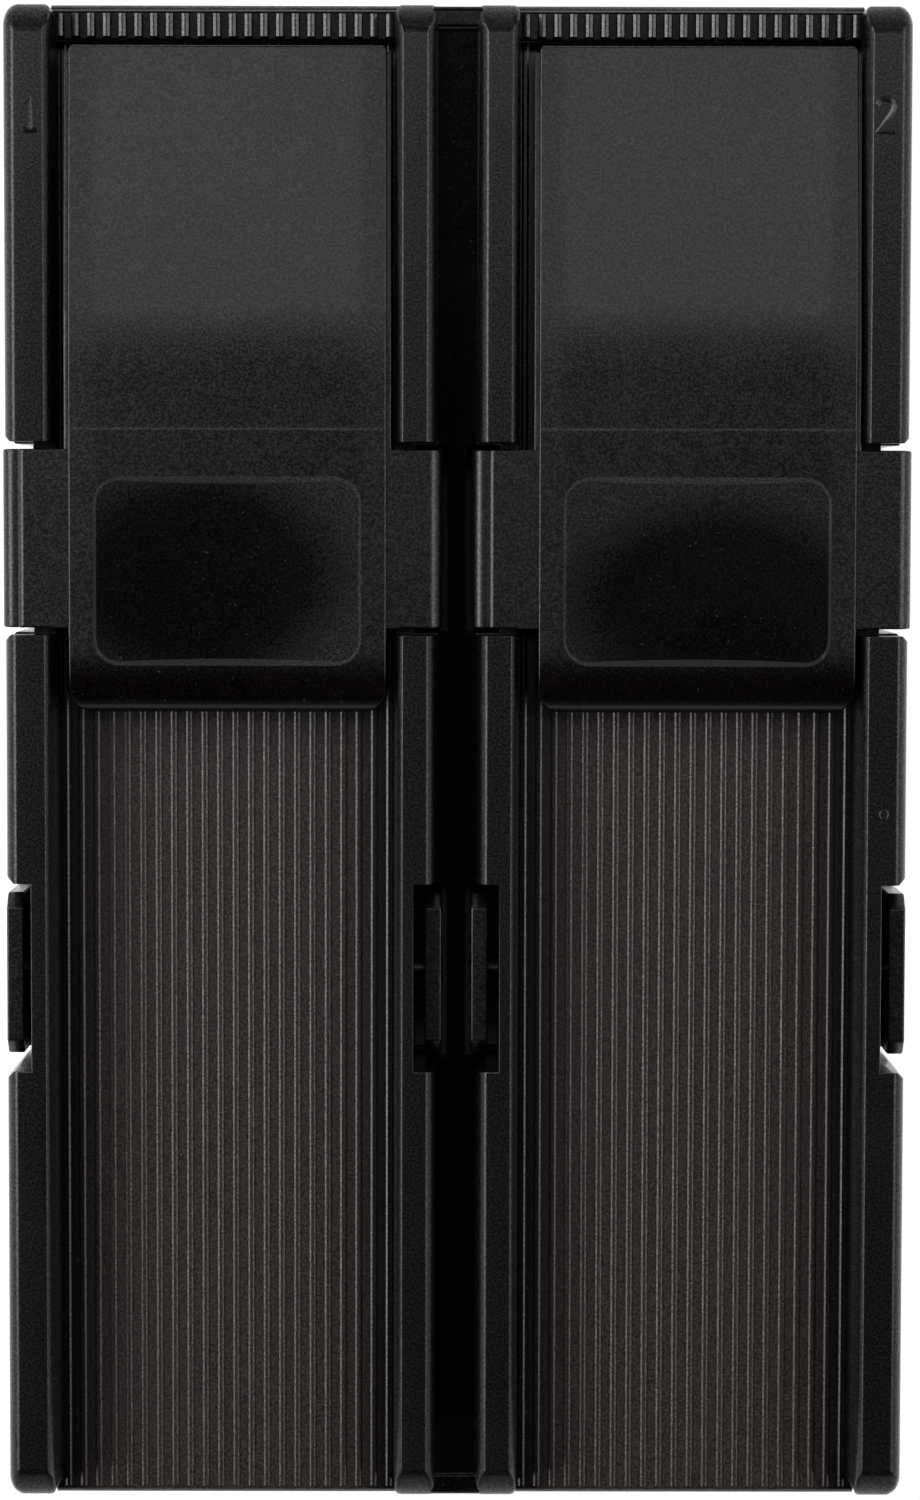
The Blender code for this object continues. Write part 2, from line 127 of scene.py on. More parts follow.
RECESS_RIM_DEPTH = 0.00014

# Pivots and the openings that the clips work in
BOSS_RADIUS = 0.0011
BOSS_CLEARANCE = 0.0001
BOSS_CHAMFER = 0.0003
BOSS_NECK = 0.3
BOSS_PROUD = 0.00005
SKIRT_CLEARANCE = 0.00063
GAP_CLEARANCE = 0.0004
NOTCH_END_CLEARANCE = 0.0003
STUB_CLEARANCE = 0.0006
NOTCH_CHAMFER = 0.0004

# Moulding marks
DIGIT_X = 0.02375
DIGIT_Y = 0.0359
DIGIT_HEIGHT = 0.00185
DIGIT_STROKE = 0.00016
DOT_PLACE = (0.02399, -0.00305)
DASH_PLACE = (0.02196, -0.03831)
DOT_RADIUS = 0.00024
DOT_STROKE = 0.00004
DOT_TICK = 0.3
STROKE_FLATNESS = 0.41
GATE_X = -0.0187
GATE_WIDTH = 0.0043
GATE_PROUD = 0.0002

# How the shapes are made, with angles in degrees
OVERRUN = 0.001
UNDERCUT = 0.0001
SINK = 0.0003
MERGE_DISTANCE = 0.000001
FLAT_ANGLE = 0.05
EDGE_ANGLE = 50
CLIP_EDGE_ANGLE = 40
SMOOTH_ANGLE = 38
MARK_SMOOTH_ANGLE = 30
RIB_SMOOTH_ANGLE = 15
EDGE_STEPS = 2
CLIP_EDGE_STEPS = 3
CHAMFER_STEPS = 2
ARC_STEPS = 6
BEND_STEPS = 12
NOSE_STEPS = 18
DISH_STEPS = 24
ROUND_SIDES = 48
HALF_TURN = Matrix.Diagonal((1, -1, -1, 1))

# Noise in the plastics' finish, and the ranges in which it shows
GRAIN_NOISE = {"size": 0.00013, "roughness": 0.7}
GRAIN_RANGE = (0.38, 0.64)
SWELL_NOISE = {"size": 0.0035, "offset": 3.0}
MOTTLE_NOISE = {"size": 0.0080, "detail": 4.0, "roughness": 0.6, "offset": 7.0}
MOTTLE_RANGE = (0.42, 0.72)
TOUCH_NOISE = {"size": 0.0045, "detail": 6.0, "roughness": 0.65, "offset": 11.0}
TOUCH_RANGE = (0.56, 0.74)
HAIR_NOISE = {"size": 0.00022, "detail": 3.0, "roughness": 0.6, "offset": 17.0, "distortion": 0.4}
HAIR_STRETCH = (1.0, 34.0, 8.0)
HAIR_RANGE = (0.63, 0.72)
CROSSING_NOISE = {"size": 0.00026, "detail": 3.0, "roughness": 0.6, "offset": 23.0, "distortion": 0.5}
CROSSING_STRETCH = (26.0, 1.2, 8.0)
CROSSING_RANGE = (0.66, 0.74)
SPECK_NOISE = {"size": 0.00016, "detail": 1.0, "roughness": 0.4, "offset": 29.0}
SPECK_RANGE = (0.745, 0.79)

# Grain and wear of the plastics, and their painted shade
RAIL_GRAIN = 0.0000016
FLOOR_GRAIN = 0.0000035
CLIP_GRAIN = 0.0000014
RECESS_GRAIN = 0.0000010
WALL_GRAIN = 0.0000005
SWELL_HEIGHT = 0.000010
SCUFF_HEIGHT = 0.0000025
LESS_WEAR = 0.5
WEAR = 1.0
MORE_WEAR = 1.4
PLACE_ATTRIBUTE = "from_pivot"
POLISHED_ACROSS = (0.0070, 0.0080)
POLISHED_ALONG = (-0.0074, -0.0058)
WORN_LIP_ALONG = (-0.0082, -0.0058)
THUMBED = ((-0.0146, 0.0102, 0.0100, 0.0074), (0.0148, 0.0086, 0.0104, 0.0070))
THUMBED_CORE = 0.55
THUMBED_SKIN = 0.85
SCUFFED = ((-0.0095, 0.0173, 0.0040, 0.0022),)
# Painted shade beside the channel walls: the margins over which it fades out, the roughness there, and how
# dark the floor colour gets
WALL_SHADE_MARGINS = (0.0026, 0.0002)
NEAR_WALL_ROUGHNESS = 0.26
PAINTED_WALL_SHADE = 0.08
GRAIN_SHADES = (0.20, 2.0)
HAZE_SHARE = 0.2
SCUFF_SHARE = 0.7
DUST_SHARE = 0.35
ROUGHNESS_SPREAD = 0.10
SPECULAR_LEVEL = 0.23
COAT_ON_GRAINS = 0.6
COAT_BETWEEN = 0.25
RAIL_SHINE = 0.84
WALL_SHINE = 0.45
HAZE = (0.0085, 0.0078, 0.0075, 1.0)
DUST = (0.10, 0.095, 0.09, 1.0)
WHITE = (1.0, 1.0, 1.0, 1.0)

# Studio: its floor, pale walls, lamps and camera, with angles in degrees
STUDIO_FLOOR_SIZE = 1.6
STUDIO_FLOOR_THICKNESS = 0.002
STUDIO_FLOOR_DROP = 0.0001
STUDIO_ROUGHNESS = 0.9
STUDIO_SPECULAR = 0.2
BACKDROP_GLOW = 1.5
BACKDROP_SHARE = 0.6
BACKDROP_EDGE = (-0.0012, 0.0)
ROOM_BRIGHT_TO = 0.08
ROOM_DARK_FROM = 0.64
SIDE_LAMP_ACROSS = 43
SIDE_LAMP_ALONG = 15
SIDE_LAMP_DISTANCE = 0.60
SIDE_LAMP_SIZE = (0.66, 0.30)
TOP_LAMP_ALONG = 13.2
TOP_LAMP_DISTANCE = 1.50
TOP_LAMP_SIZE = (1.00, 0.22)
CAMERA_DISTANCE = 0.220
CAMERA_FOOT = (-0.00049, 0.01427)
CAMERA_TURN = (-0.062379, -0.0029454, 0.0021928)
CAMERA_FOCAL_PIXELS = 3925.45
CAMERA_NEAREST = 0.01
PICTURE_HEIGHT = 1500
SENSOR_HEIGHT = 24.0
RAIL_TOP = 0.0100


# ---------------------------------------------------------------- what the sidebar offers


def metres(name, description, default):
    return FloatProperty(name=name, description=description, default=default, unit="LENGTH")


def angle(name, description, degrees):
    return FloatProperty(name=name, description=description, default=math.radians(degrees), subtype="ANGLE")


def fraction(name, description, default):
    return FloatProperty(name=name, description=description, default=default, subtype="FACTOR", min=0, max=1)


def tint(name, description, default):
    return FloatVectorProperty(name=name, description=description, default=default, subtype="COLOR")


def amount(name, description, default):
    return FloatProperty(name=name, description=description, default=default)


class PlateSizes(bpy.types.PropertyGroup):
    """The moulded plate."""

    length: metres("Rail length", "Length of the rails", BODY_HIGH.y - BODY_LOW.y - 2 * FLOOR_PROUD)
    thickness: metres("Thickness", "Height of the rails from face to face", BODY_HIGH.z - BODY_LOW.z)
    web_thickness: metres("Web", "Thickness between two floors", 0.0016)
    channel_width: metres("Channel", "Width of a reed channel", 0.0193)
    outer_rail: metres("Outer rail", "Width of an outer rail", 0.00258)
    inner_rail: metres("Inner rail", "Width of an inner rail", 0.00232)
    valley_width: metres("Valley", "Gap between the inner rails", 0.0022)
    edge_rounding: metres("Edge rounding", "Radius of the small edges", 0.00006)


class RibSizes(bpy.types.PropertyGroup):
    """The ribs of the channel floors and the bars of the end walls."""

    count: IntProperty(name="Ribs", description="Ribs in one channel", default=22, min=1)
    pitch: metres("Pitch", "From rib to rib", 0.00088)
    width: metres("Rib width", "Width of a floor rib", 0.00040)
    height: metres("Rib height", "How far a rib stands up", 0.00012)
    bar_width: metres("Bar width", "Width of an end bar", 0.00050)
    bar_height: metres("Bar height", "How far a bar stands up", 0.0006)


class ClipSizes(bpy.types.PropertyGroup):
    """One rocking clip."""

    wing_length: metres("Wing", "Length of the wing along the rails", 0.0100)
    wing_thickness: metres("Wing thickness", "Thickness of the wing", 0.00145)
    tongue_thickness: metres("Tongue thickness", "Thickness of the tongue", 0.0016)
    tail_slope: angle("Tail slope", "How far the tail bends down", 3.3)
    recess_width: metres("Recess width", "Width of the thumb recess", 0.0150)
    recess_length: metres("Recess length", "Length of the thumb recess", 0.0106)
    recess_depth: metres("Recess depth", "Depth in the middle of the recess", 0.00038)


class Finishes(bpy.types.PropertyGroup):
    """The plastics of the plate and the clips."""

    rail_colour: tint("Rails", "Colour of the rails", (0.0021, 0.0013, 0.0011))
    floor_colour: tint("Floors", "Colour of the channel floors", (0.0188, 0.0137, 0.0124))
    clip_colour: tint("Clips", "Colour of the clips", (0.0019, 0.0012, 0.0011))
    # Painted shade: this darker colour stands in for the shade in the thumb recesses, on the end walls and
    # in the valley.
    painted_shade_colour: tint("Recesses", "Colour of the thumb recesses", (0.0010, 0.0007, 0.0007))
    rail_roughness: fraction("Rail roughness", "Semi-gloss", 0.23)
    floor_roughness: fraction("Floor roughness", "Matte", 0.50)
    clip_roughness: fraction("Clip roughness", "Satin", 0.26)
    skin_roughness: fraction("Skin roughness", "Sheen over the grain", 0.37)
    rib_roughness: fraction("Rib roughness", "Rubbed smooth", 0.25)
    bar_roughness: fraction("Bar roughness", "Rubbed smooth", 0.17)
    recess_roughness: fraction("Recess roughness", "Polished by use", 0.17)


class StageSettings(bpy.types.PropertyGroup):
    """The floor, the lamps and the camera."""

    floor_colour: tint("Floor", "Colour of the floor", (0.86, 0.86, 0.86))
    left_radiance: amount("Left lamp", "Radiance of the left lamp", 6.0)
    right_radiance: amount("Right lamp", "Radiance of the right lamp", 3.0)
    top_radiance: amount("Top lamp", "Radiance of the lamp overhead", 2.1)
    fill: amount("Fill", "Strength of the world", 0.01)
    white_backdrop: BoolProperty(
        name="White backdrop", description="Show the floor white to the camera", default=True
    )


class GuardSettings(bpy.types.PropertyGroup):
    """Everything that the sidebar offers."""

    plate: PointerProperty(type=PlateSizes)
    ribs: PointerProperty(type=RibSizes)
    clip: PointerProperty(type=ClipSizes)
    finishes: PointerProperty(type=Finishes)
    stage: PointerProperty(type=StageSettings)


# ---------------------------------------------------------------- layout


class Layout:
    """Where things are, worked out from the sizes in the sidebar."""

    def __init__(self, guard):
        plate, clip = guard.plate, guard.clip
        self.valley = plate.valley_width / 2
        self.channel_inner = self.valley + plate.inner_rail
        self.channel_outer = self.channel_inner + plate.channel_width
        self.channel_middle = (self.channel_inner + self.channel_outer) / 2
        self.half_width = self.channel_outer + plate.outer_rail
        self.half_length = plate.length / 2
        self.middle = plate.thickness / 2
        self.floor = plate.web_thickness / 2
        self.floor_end = self.half_length + FLOOR_PROUD
        self.wall_face = self.half_length - END_WALL_SETBACK
        self.wall_start = self.wall_face - END_WALL_LENGTH
        self.wall_top = self.floor + END_WALL_HEIGHT
        self.bar_height = guard.ribs.bar_height
        self.bar_top = self.wall_top + BAR_PROUD
        self.valley_end = self.half_length - VALLEY_END_SETBACK
        self.outer_skirt = self.half_width + SKIRT_PROUD
        self.inner_skirt = SKIRTS_APART / 2
        self.outer_notch = self.outer_skirt - SKIRT_THICKNESS - SKIRT_CLEARANCE
        self.inner_notch = self.inner_skirt + SKIRT_THICKNESS + SKIRT_CLEARANCE
        self.strip_neck = self.inner_skirt - STRIP_CLEARANCE
        self.clip_offset = (self.outer_skirt + self.inner_skirt) / 2
        self.clip_half = (self.outer_skirt - self.inner_skirt) / 2
        self.pivot_y = self.half_length - PIVOT_FROM_END
        self.gap_half = clip.wing_length / 2 + GAP_CLEARANCE
        self.notch_half = clip.wing_length / 2 + NOTCH_END_CLEARANCE
        self.wing_half = clip.wing_length / 2
        self.wing_top = self.middle - WING_DROP
        self.wing_under = self.wing_top - clip.wing_thickness
        self.stub_top = self.wing_under - STUB_CLEARANCE
        self.tongue_half = plate.channel_width / 2 - TONGUE_CLEARANCE
        self.tongue_face = self.wing_top + TONGUE_RAISE
        self.tongue_under = self.tongue_face - clip.tongue_thickness
        self.tail_y = PIVOT_FROM_END - END_WALL_SETBACK - END_WALL_LENGTH - TAIL_GAP
        self.skirt_tip = -self.middle + SKIRT_TIP_INSET


# ---------------------------------------------------------------- solids


def new_object(name, mesh):
    thing = bpy.data.objects.new(name, mesh)
    bpy.context.scene.collection.objects.link(thing)
    return thing


def from_bmesh(name, form):
    """Close the form's seams, turn its faces outwards and make it an object."""
    bmesh.ops.remove_doubles(form, verts=form.verts, dist=MERGE_DISTANCE)
    bmesh.ops.recalc_face_normals(form, faces=form.faces)
    mesh = bpy.data.meshes.new(name)
    form.to_mesh(mesh)
    form.free()
    return new_object(name, mesh)


def placed(axis, u, v, along):
    """A point of an outline drawn across an axis."""
    return Vector({"X": (along, u, v), "Y": (u, along, v), "Z": (u, v, along)}[axis])


def loft(name, axis, rings):
    """A closed solid through outlines with the same number of points, each with its place."""
    form = bmesh.new()
    levels = [[form.verts.new(placed(axis, u, v, at)) for u, v in outline] for outline, at in rings]
    form.faces.new(levels[0])
    form.faces.new(list(reversed(levels[-1])))
    for lower, upper in zip(levels, levels[1:]):
        for here in range(len(lower)):
            there = (here + 1) % len(lower)
            form.faces.new((lower[here], upper[here], upper[there], lower[there]))
    return from_bmesh(name, form)


def prism(name, axis, outline, low, high):
    return loft(name, axis, [(outline, low), (outline, high)])


def box(name, low, high):
    outline = [(low[0], low[1]), (high[0], low[1]), (high[0], high[1]), (low[0], high[1])]
    return prism(name, "Z", outline, low[2], high[2])


def arc(centre, radii, start_degrees, end_degrees, steps):
    """Points along a circular or elliptical arc, both ends included."""
    across, up = radii if isinstance(radii, tuple) else (radii, radii)
    points = []
    for step in range(steps + 1):
        turn = math.radians(start_degrees + (end_degrees - start_degrees) * step / steps)
        points.append((centre[0] + across * math.cos(turn), centre[1] + up * math.sin(turn)))
    return points


def circle(centre, radius):
    return arc(centre, radius, 0, 360, ROUND_SIDES)[:-1]


def rounded_rectangle(left, right, bottom, top, bottom_radius, top_radius):
    """Corner by corner, from the lower right one round to the lower left one."""
    outline = arc((right - bottom_radius, bottom + bottom_radius), bottom_radius, -90, 0, ARC_STEPS)
    outline += arc((right - top_radius, top - top_radius), top_radius, 0, 90, ARC_STEPS)
    outline += arc((left + top_radius, top - top_radius), top_radius, 90, 180, ARC_STEPS)
    outline += arc((left + bottom_radius, bottom + bottom_radius), bottom_radius, 180, 270, ARC_STEPS)
    return outline


def applied(thing):
    """Replace the object's mesh by its evaluated one and drop its modifiers."""
    evaluated = thing.evaluated_get(bpy.context.evaluated_depsgraph_get())
    result = bpy.data.meshes.new_from_object(evaluated)
    thing.modifiers.clear()
    thing.data = result
    return thing


def boolean(base, operation, others):
    """Replace the base's mesh by its Boolean with the other solids, which are then removed."""
    group = bpy.data.collections.new("operands")
    for other in others:
        group.objects.link(other)
    step = base.modifiers.new(operation, "BOOLEAN")
    step.operation = operation
    step.solver = "EXACT"
    step.operand_type = "COLLECTION"
    step.collection = group
    applied(base)
    bpy.data.collections.remove(group)
    for other in others:
        bpy.data.objects.remove(other, do_unlink=True)
    return base


def half_turned(things):
    """The given solids and a copy of each for the back face."""
    both = list(things)
    for thing in things:
        mesh = thing.data.copy()
        mesh.transform(HALF_TURN)
        both.append(new_object(thing.name + "_back", mesh))
    return both


def on_both_sides(make, layout):
    """Call a maker for the left and for the right side of the plate."""
    return [solid for side in (-1, 1) for solid in make(side, layout)]


def spread(side, near, far):
    """Two distances from the middle plane as a low and a high X on one side."""
    return (near, far) if side > 0 else (-far, -near)


def round_edges(thing, width, segments, least_degrees):
    """Round the mesh's sharp outer edges, in geometry."""
    form = bmesh.new()
    form.from_mesh(thing.data)
    bmesh.ops.dissolve_limit(
        form, angle_limit=math.radians(FLAT_ANGLE), verts=form.verts, edges=form.edges, delimit={"MATERIAL"}
    )
    sharp = [
        edge
        for edge in form.edges
        if len(edge.link_faces) == 2
        and edge.is_convex
        and edge.calc_face_angle() > math.radians(least_degrees)
    ]
    bmesh.ops.bevel(
        form, geom=sharp, offset=width, segments=segments, profile=0.5, affect="EDGES", clamp_overlap=False
    )
    form.to_mesh(thing.data)
    form.free()
    return thing


def smoothed(thing, degrees):
    """Shade the mesh smoothly, with its flat faces kept flat and its sharp edges kept sharp."""
    thing.data.shade_smooth()
    thing.data.set_sharp_from_angle(angle=math.radians(degrees))
    step = thing.modifiers.new("flat faces", "WEIGHTED_NORMAL")
    step.keep_sharp = True
    return applied(thing)


def moved(thing, x, y, z):
    thing.data.transform(Matrix.Translation((x, y, z)))
    return thing


# ---------------------------------------------------------------- plate


def channel_web(side, layout):
    """The plain web between a front floor and the one behind it, longest at its gated end."""
    low, high = spread(side, layout.channel_inner - SINK, layout.channel_outer + SINK)
    start, end = -layout.floor_end - FLOOR_RUNOUT, layout.floor_end
    radius = FLOOR_EDGE_RADIUS
    outline = rounded_rectangle(start, end, -layout.floor, layout.floor, radius, radius)
    return [prism("channel_web", "X", outline, low, high)]


def end_wall(side, layout):
    """The plain wall that closes a channel, with rounded long edges."""
    low, high = spread(side, layout.channel_inner - SINK, layout.channel_outer + SINK)
    top = layout.bar_top - layout.bar_height
    start, end = layout.wall_start, layout.wall_face
    outline = rounded_rectangle(start, end, -layout.floor / 2, top, SINK, WALL_EDGE_RADIUS)
    return [prism("end_wall", "X", outline, low, high)]


def rail_wall(side, plain_x, channel_x, layout):
    """A rail of the front face and the one behind it, with rounded tops and long rounded ends."""
    outward = CHANNEL_DRAFT if plain_x < channel_x else -CHANNEL_DRAFT
    outline = [
        (side * plain_x, -layout.middle),
        (side * channel_x, -layout.middle),
        (side * (channel_x + outward), 0),
        (side * channel_x, layout.middle),
        (side * plain_x, layout.middle),
    ]
    if plain_x == layout.half_width:
        outline.append((side * (plain_x + OUTER_DRAFT), 0))
    wall = prism("rail_wall", "Y", outline, -layout.half_length, layout.half_length)
    largest = max(RAIL_EDGE_RADIUS, RAIL_PLAIN_RADIUS, RAIL_END_RADIUS, RAIL_CORNER_RADIUS)
    form = bmesh.new()
    form.from_mesh(wall.data)
    weights = form.edges.layers.float.new("bevel_weight_edge")
    for edge in form.edges:
        first, last = (corner.co for corner in edge.verts)
        across = abs(first.x - last.x)
        on_face = abs(first.z) > layout.floor and abs(last.z) > layout.floor and first.z * last.z > 0
        on_end = abs(first.y - last.y) < MERGE_DISTANCE
        if on_face and on_end and across > CHANNEL_DRAFT:
            edge[weights] = RAIL_END_RADIUS / largest
        elif on_face:
            plain = abs(abs(first.x) - plain_x) < CHANNEL_DRAFT
            edge[weights] = (RAIL_PLAIN_RADIUS if plain else RAIL_EDGE_RADIUS) / largest
        elif on_end:
            outermost = abs(abs(first.x) - layout.half_width) < CHANNEL_DRAFT
            edge[weights] = (RAIL_CORNER_RADIUS if outermost else RAIL_INNER_CORNER) / largest
    form.to_mesh(wall.data)
    form.free()
    bevel = wall.modifiers.new("rounding", "BEVEL")
    bevel.width = largest
    bevel.segments = ARC_STEPS
    bevel.limit_method = "WEIGHT"
    applied(wall)
    reach = RAIL_END_RADIUS * RAIL_END_STRETCH
    for corner in wall.data.vertices:
        from_end = layout.half_length - abs(corner.co.y)
        if from_end > reach:
            continue
        from_end = min(from_end * RAIL_END_STRETCH, reach)
        corner.co.y = math.copysign(layout.half_length - from_end, corner.co.y)
        share = 1 - from_end / reach
        if abs(corner.co.z) > layout.middle - RAIL_END_RADIUS:
            sag = RAIL_END_SLOPE * RAIL_END_RADIUS * (share - 1 + math.sqrt(1 - share * share))
            corner.co.z -= math.copysign(sag, corner.co.z)
    return wall


def rail_walls(side, layout):
    return [
        rail_wall(side, layout.half_width, layout.channel_outer, layout),
        rail_wall(side, layout.valley, layout.channel_inner, layout),
    ]


def valley_strip(layout):
    """The web that joins the halves: it slants from near the front face to near the back one."""
    reach = layout.valley + SINK
    high = layout.middle - STRIP_DROP
    end = layout.valley_end
    slanted = [(-end, -high), (end, high - STRIP_THICKNESS), (end, high), (-end, -high + STRIP_THICKNESS)]
    return prism("valley_strip", "X", slanted, -reach, reach)


def valley_ends(layout):
    """A short wall with rounded edges that closes the valley at each end of the plate."""
    reach = layout.valley + SINK
    top = layout.middle - VALLEY_END_DROP
    ends = []
    for way in (-1, 1):
        low, high = sorted((way * layout.valley_end, way * (layout.valley_end - VALLEY_END_LENGTH)))
        outline = rounded_rectangle(low, high, -top, top, SINK, SINK)
        ends.append(prism("valley_end", "X", outline, -reach, reach))
    return ends


def bosses(side, layout):
    """The two pivot bosses of one front clip, each with a chamfered tip."""
    made = []
    for root, tip in (
        (layout.outer_notch - SINK, layout.outer_skirt + BOSS_PROUD),
        (layout.inner_notch + SINK, layout.inner_skirt - BOSS_PROUD),
    ):
        back = math.copysign(BOSS_CHAMFER, root - tip)
        neck = tip + back * BOSS_NECK
        cuts = ((0, root), (0, tip + back), (BOSS_NECK, neck), (1, tip))
        rings = [
            (circle((layout.pivot_y, 0), BOSS_RADIUS - BOSS_CHAMFER * share), side * place)
            for share, place in cuts
        ]
        made.append(loft("boss", "X", rings))
    return made


def skirt_notches(side, layout):
    """The two openings, right through the plate, that one front clip's skirts stand in."""
    low_y, high_y = layout.pivot_y - layout.notch_half, layout.pivot_y + layout.notch_half
    through = layout.middle + OVERRUN
    chamfer_start = side * (layout.half_width - NOTCH_CHAMFER)
    outside = side * (layout.half_width + OVERRUN)
    outline = [
        (side * layout.outer_notch, low_y),
        (chamfer_start, low_y),
        (outside, low_y - NOTCH_CHAMFER - OVERRUN),
        (outside, high_y + NOTCH_CHAMFER + OVERRUN),
        (chamfer_start, high_y),
        (side * layout.outer_notch, high_y),
    ]
    near, far = spread(side, layout.strip_neck, layout.inner_notch)
    return [
        prism("outer_notch", "Z", outline, -through, through),
        box("inner_notch", (near, low_y, -through), (far, high_y, through)),
    ]


def wing_gaps(side, layout):
    """The gaps in the two front rails that one front clip's wing crosses."""
    low_y, high_y = layout.pivot_y - layout.gap_half, layout.pivot_y + layout.gap_half
    above = layout.middle + OVERRUN
    gaps = []
    for near, far in (
        (layout.channel_outer - OVERRUN, layout.half_width + OVERRUN),
        (layout.strip_neck, layout.channel_inner + OVERRUN),
    ):
        low_x, high_x = spread(side, near, far)
        gaps.append(box("wing_gap", (low_x, low_y, layout.stub_top), (high_x, high_y, above)))
    return gaps


def make_plate(guard):
    """The plate without its ribs, modelled about the middle of its thickness and then lifted."""
    layout = Layout(guard)
    plate = valley_strip(layout)
    webs = on_both_sides(channel_web, layout) + valley_ends(layout)
    boolean(plate, "UNION", webs + half_turned(on_both_sides(end_wall, layout)))
    boolean(plate, "UNION", on_both_sides(rail_walls, layout))
    boolean(plate, "DIFFERENCE", half_turned(on_both_sides(wing_gaps, layout)))
    boolean(plate, "DIFFERENCE", half_turned(on_both_sides(skirt_notches, layout)))
    round_edges(plate, guard.plate.edge_rounding, EDGE_STEPS, EDGE_ANGLE)
    boolean(plate, "UNION", half_turned(on_both_sides(bosses, layout)))
    plate.name = plate.data.name = "plate_moulding"
    return moved(plate, 0, 0, layout.middle), layout


# ---------------------------------------------------------------- clips


def face_height(along, guard, layout):
    """The tongue's face above the pivot: a step down at the crease, then a bend down to the tail."""
    slope = math.tan(guard.clip.tail_slope)
    past_crease = min(max(along - CREASE_FROM_PIVOT, 0) / CREASE_LENGTH, 1) ** CREASE_CURVE
    into_bend = min(max(along - BEND_FROM_PIVOT, 0), BEND_LENGTH)
    past_bend = max(along - BEND_FROM_PIVOT - BEND_LENGTH, 0)
    drop = slope * (into_bend * into_bend / BEND_LENGTH / 2 + past_bend)
    return layout.tongue_face - CREASE_STEP * past_crease - drop


def tail_stations():
    """Where the tail's outline has points: the crease, the steps of the bend, and the end."""
    bend = [BEND_FROM_PIVOT + BEND_LENGTH * step / BEND_STEPS for step in range(BEND_STEPS + 1)]
    return [CREASE_FROM_PIVOT + CREASE_LENGTH / 2, CREASE_FROM_PIVOT + CREASE_LENGTH] + bend


def tail_outline(guard, layout, end, back_to, drop, thickness):
    """The tail's face, this far below the tongue's, its end, and its underside back to the tongue's."""
    outline = [(along, face_height(along, guard, layout) - drop) for along in tail_stations() + [end]]
    for along in (end, BEND_FROM_PIVOT):
        outline.append((along, face_height(along, guard, layout) - thickness))
    return outline + [(CREASE_FROM_PIVOT, layout.tongue_under), (back_to, layout.tongue_under)]


def make_tongue(guard, layout):
    """The tongue with its crease, bent tail and long rounded nose, and with its edges eased."""
    nose = (-LIP_REACH + LIP_NOSE_LENGTH, layout.tongue_face - LIP_NOSE_HEIGHT)
    outline = arc(nose, (LIP_NOSE_LENGTH, LIP_NOSE_HEIGHT), 180, 90, NOSE_STEPS)
    outline.append((CREASE_FROM_PIVOT, layout.tongue_face))
    outline += tail_outline(guard, layout, layout.tail_y, -LIP_REACH, 0, TAIL_THICKNESS)
    half = layout.tongue_half
    tongue = prism("tongue", "X", outline, -2 * half, 2 * half)
    plan = rounded_rectangle(-half, half, -LIP_REACH, layout.tail_y, LIP_CORNER_RADIUS, TAIL_CORNER_RADIUS)
    trim = prism("plan", "Z", plan, layout.tongue_under - OVERRUN, layout.tongue_face + OVERRUN)
    boolean(tongue, "INTERSECT", [trim])
    return round_edges(tongue, TONGUE_EDGE_RADIUS, CLIP_EDGE_STEPS, CLIP_EDGE_ANGLE)


def make_flange(guard, layout):
    """The tongue's wider lower layer, from the wing to the tail."""
    half = layout.tongue_half + FLANGE_OVERHANG
    end = layout.tail_y - TAIL_CORNER_RADIUS
    outline = [(0, layout.tongue_face - FLANGE_DROP)]
    outline += tail_outline(guard, layout, end, 0, FLANGE_DROP, TAIL_THICKNESS - MERGE_DISTANCE)
    flange = prism("flange", "X", outline, -half, half)
    return round_edges(flange, guard.plate.edge_rounding, EDGE_STEPS, EDGE_ANGLE)


def make_wing(layout):
    """The wing and its two skirts: stepped at the left end, rounded at the right."""
    half, top, tip = layout.clip_half, layout.wing_top, layout.skirt_tip
    inside = half - SKIRT_THICKNESS
    section = [(-half, tip)]
    for left, height, radius in (
        (-half, top - SHELF_DROP, SHELF_EDGE_RADIUS),
        (-half + SHELF_WIDTH, top, SHOULDER_RADIUS),
    ):
        section += arc((left + radius, height - radius), radius, 180, 90, ARC_STEPS)
    section += arc((half - WING_EDGE_RADIUS, top - WING_EDGE_RADIUS), WING_EDGE_RADIUS, 90, 0, ARC_STEPS)
    section += [(half, tip), (inside, tip), (inside, layout.wing_under)]
    section += [(-inside, layout.wing_under), (-inside, tip)]
    reach = layout.wing_half
    wing = prism("wing", "Y", section, -reach - OVERRUN, reach + OVERRUN)
    tip_reach = reach - SKIRT_END_STEP
    right = [
        (tip_reach - SKIRT_TIP_CHAMFER, tip - OVERRUN),
        (tip_reach - SKIRT_TIP_CHAMFER, tip),
        (tip_reach, tip + SKIRT_TIP_CHAMFER),
        (tip_reach, layout.wing_under),
        (reach, layout.wing_under),
        (reach, top + OVERRUN),
    ]
    left = [(-along, height) for along, height in reversed(right)]
    envelope = prism("wing_side", "X", right + left, -half - OVERRUN, half + OVERRUN)
    boolean(wing, "INTERSECT", [envelope])
    return round_edges(wing, WING_EDGE_ROUNDING, CLIP_EDGE_STEPS, CLIP_EDGE_ANGLE)


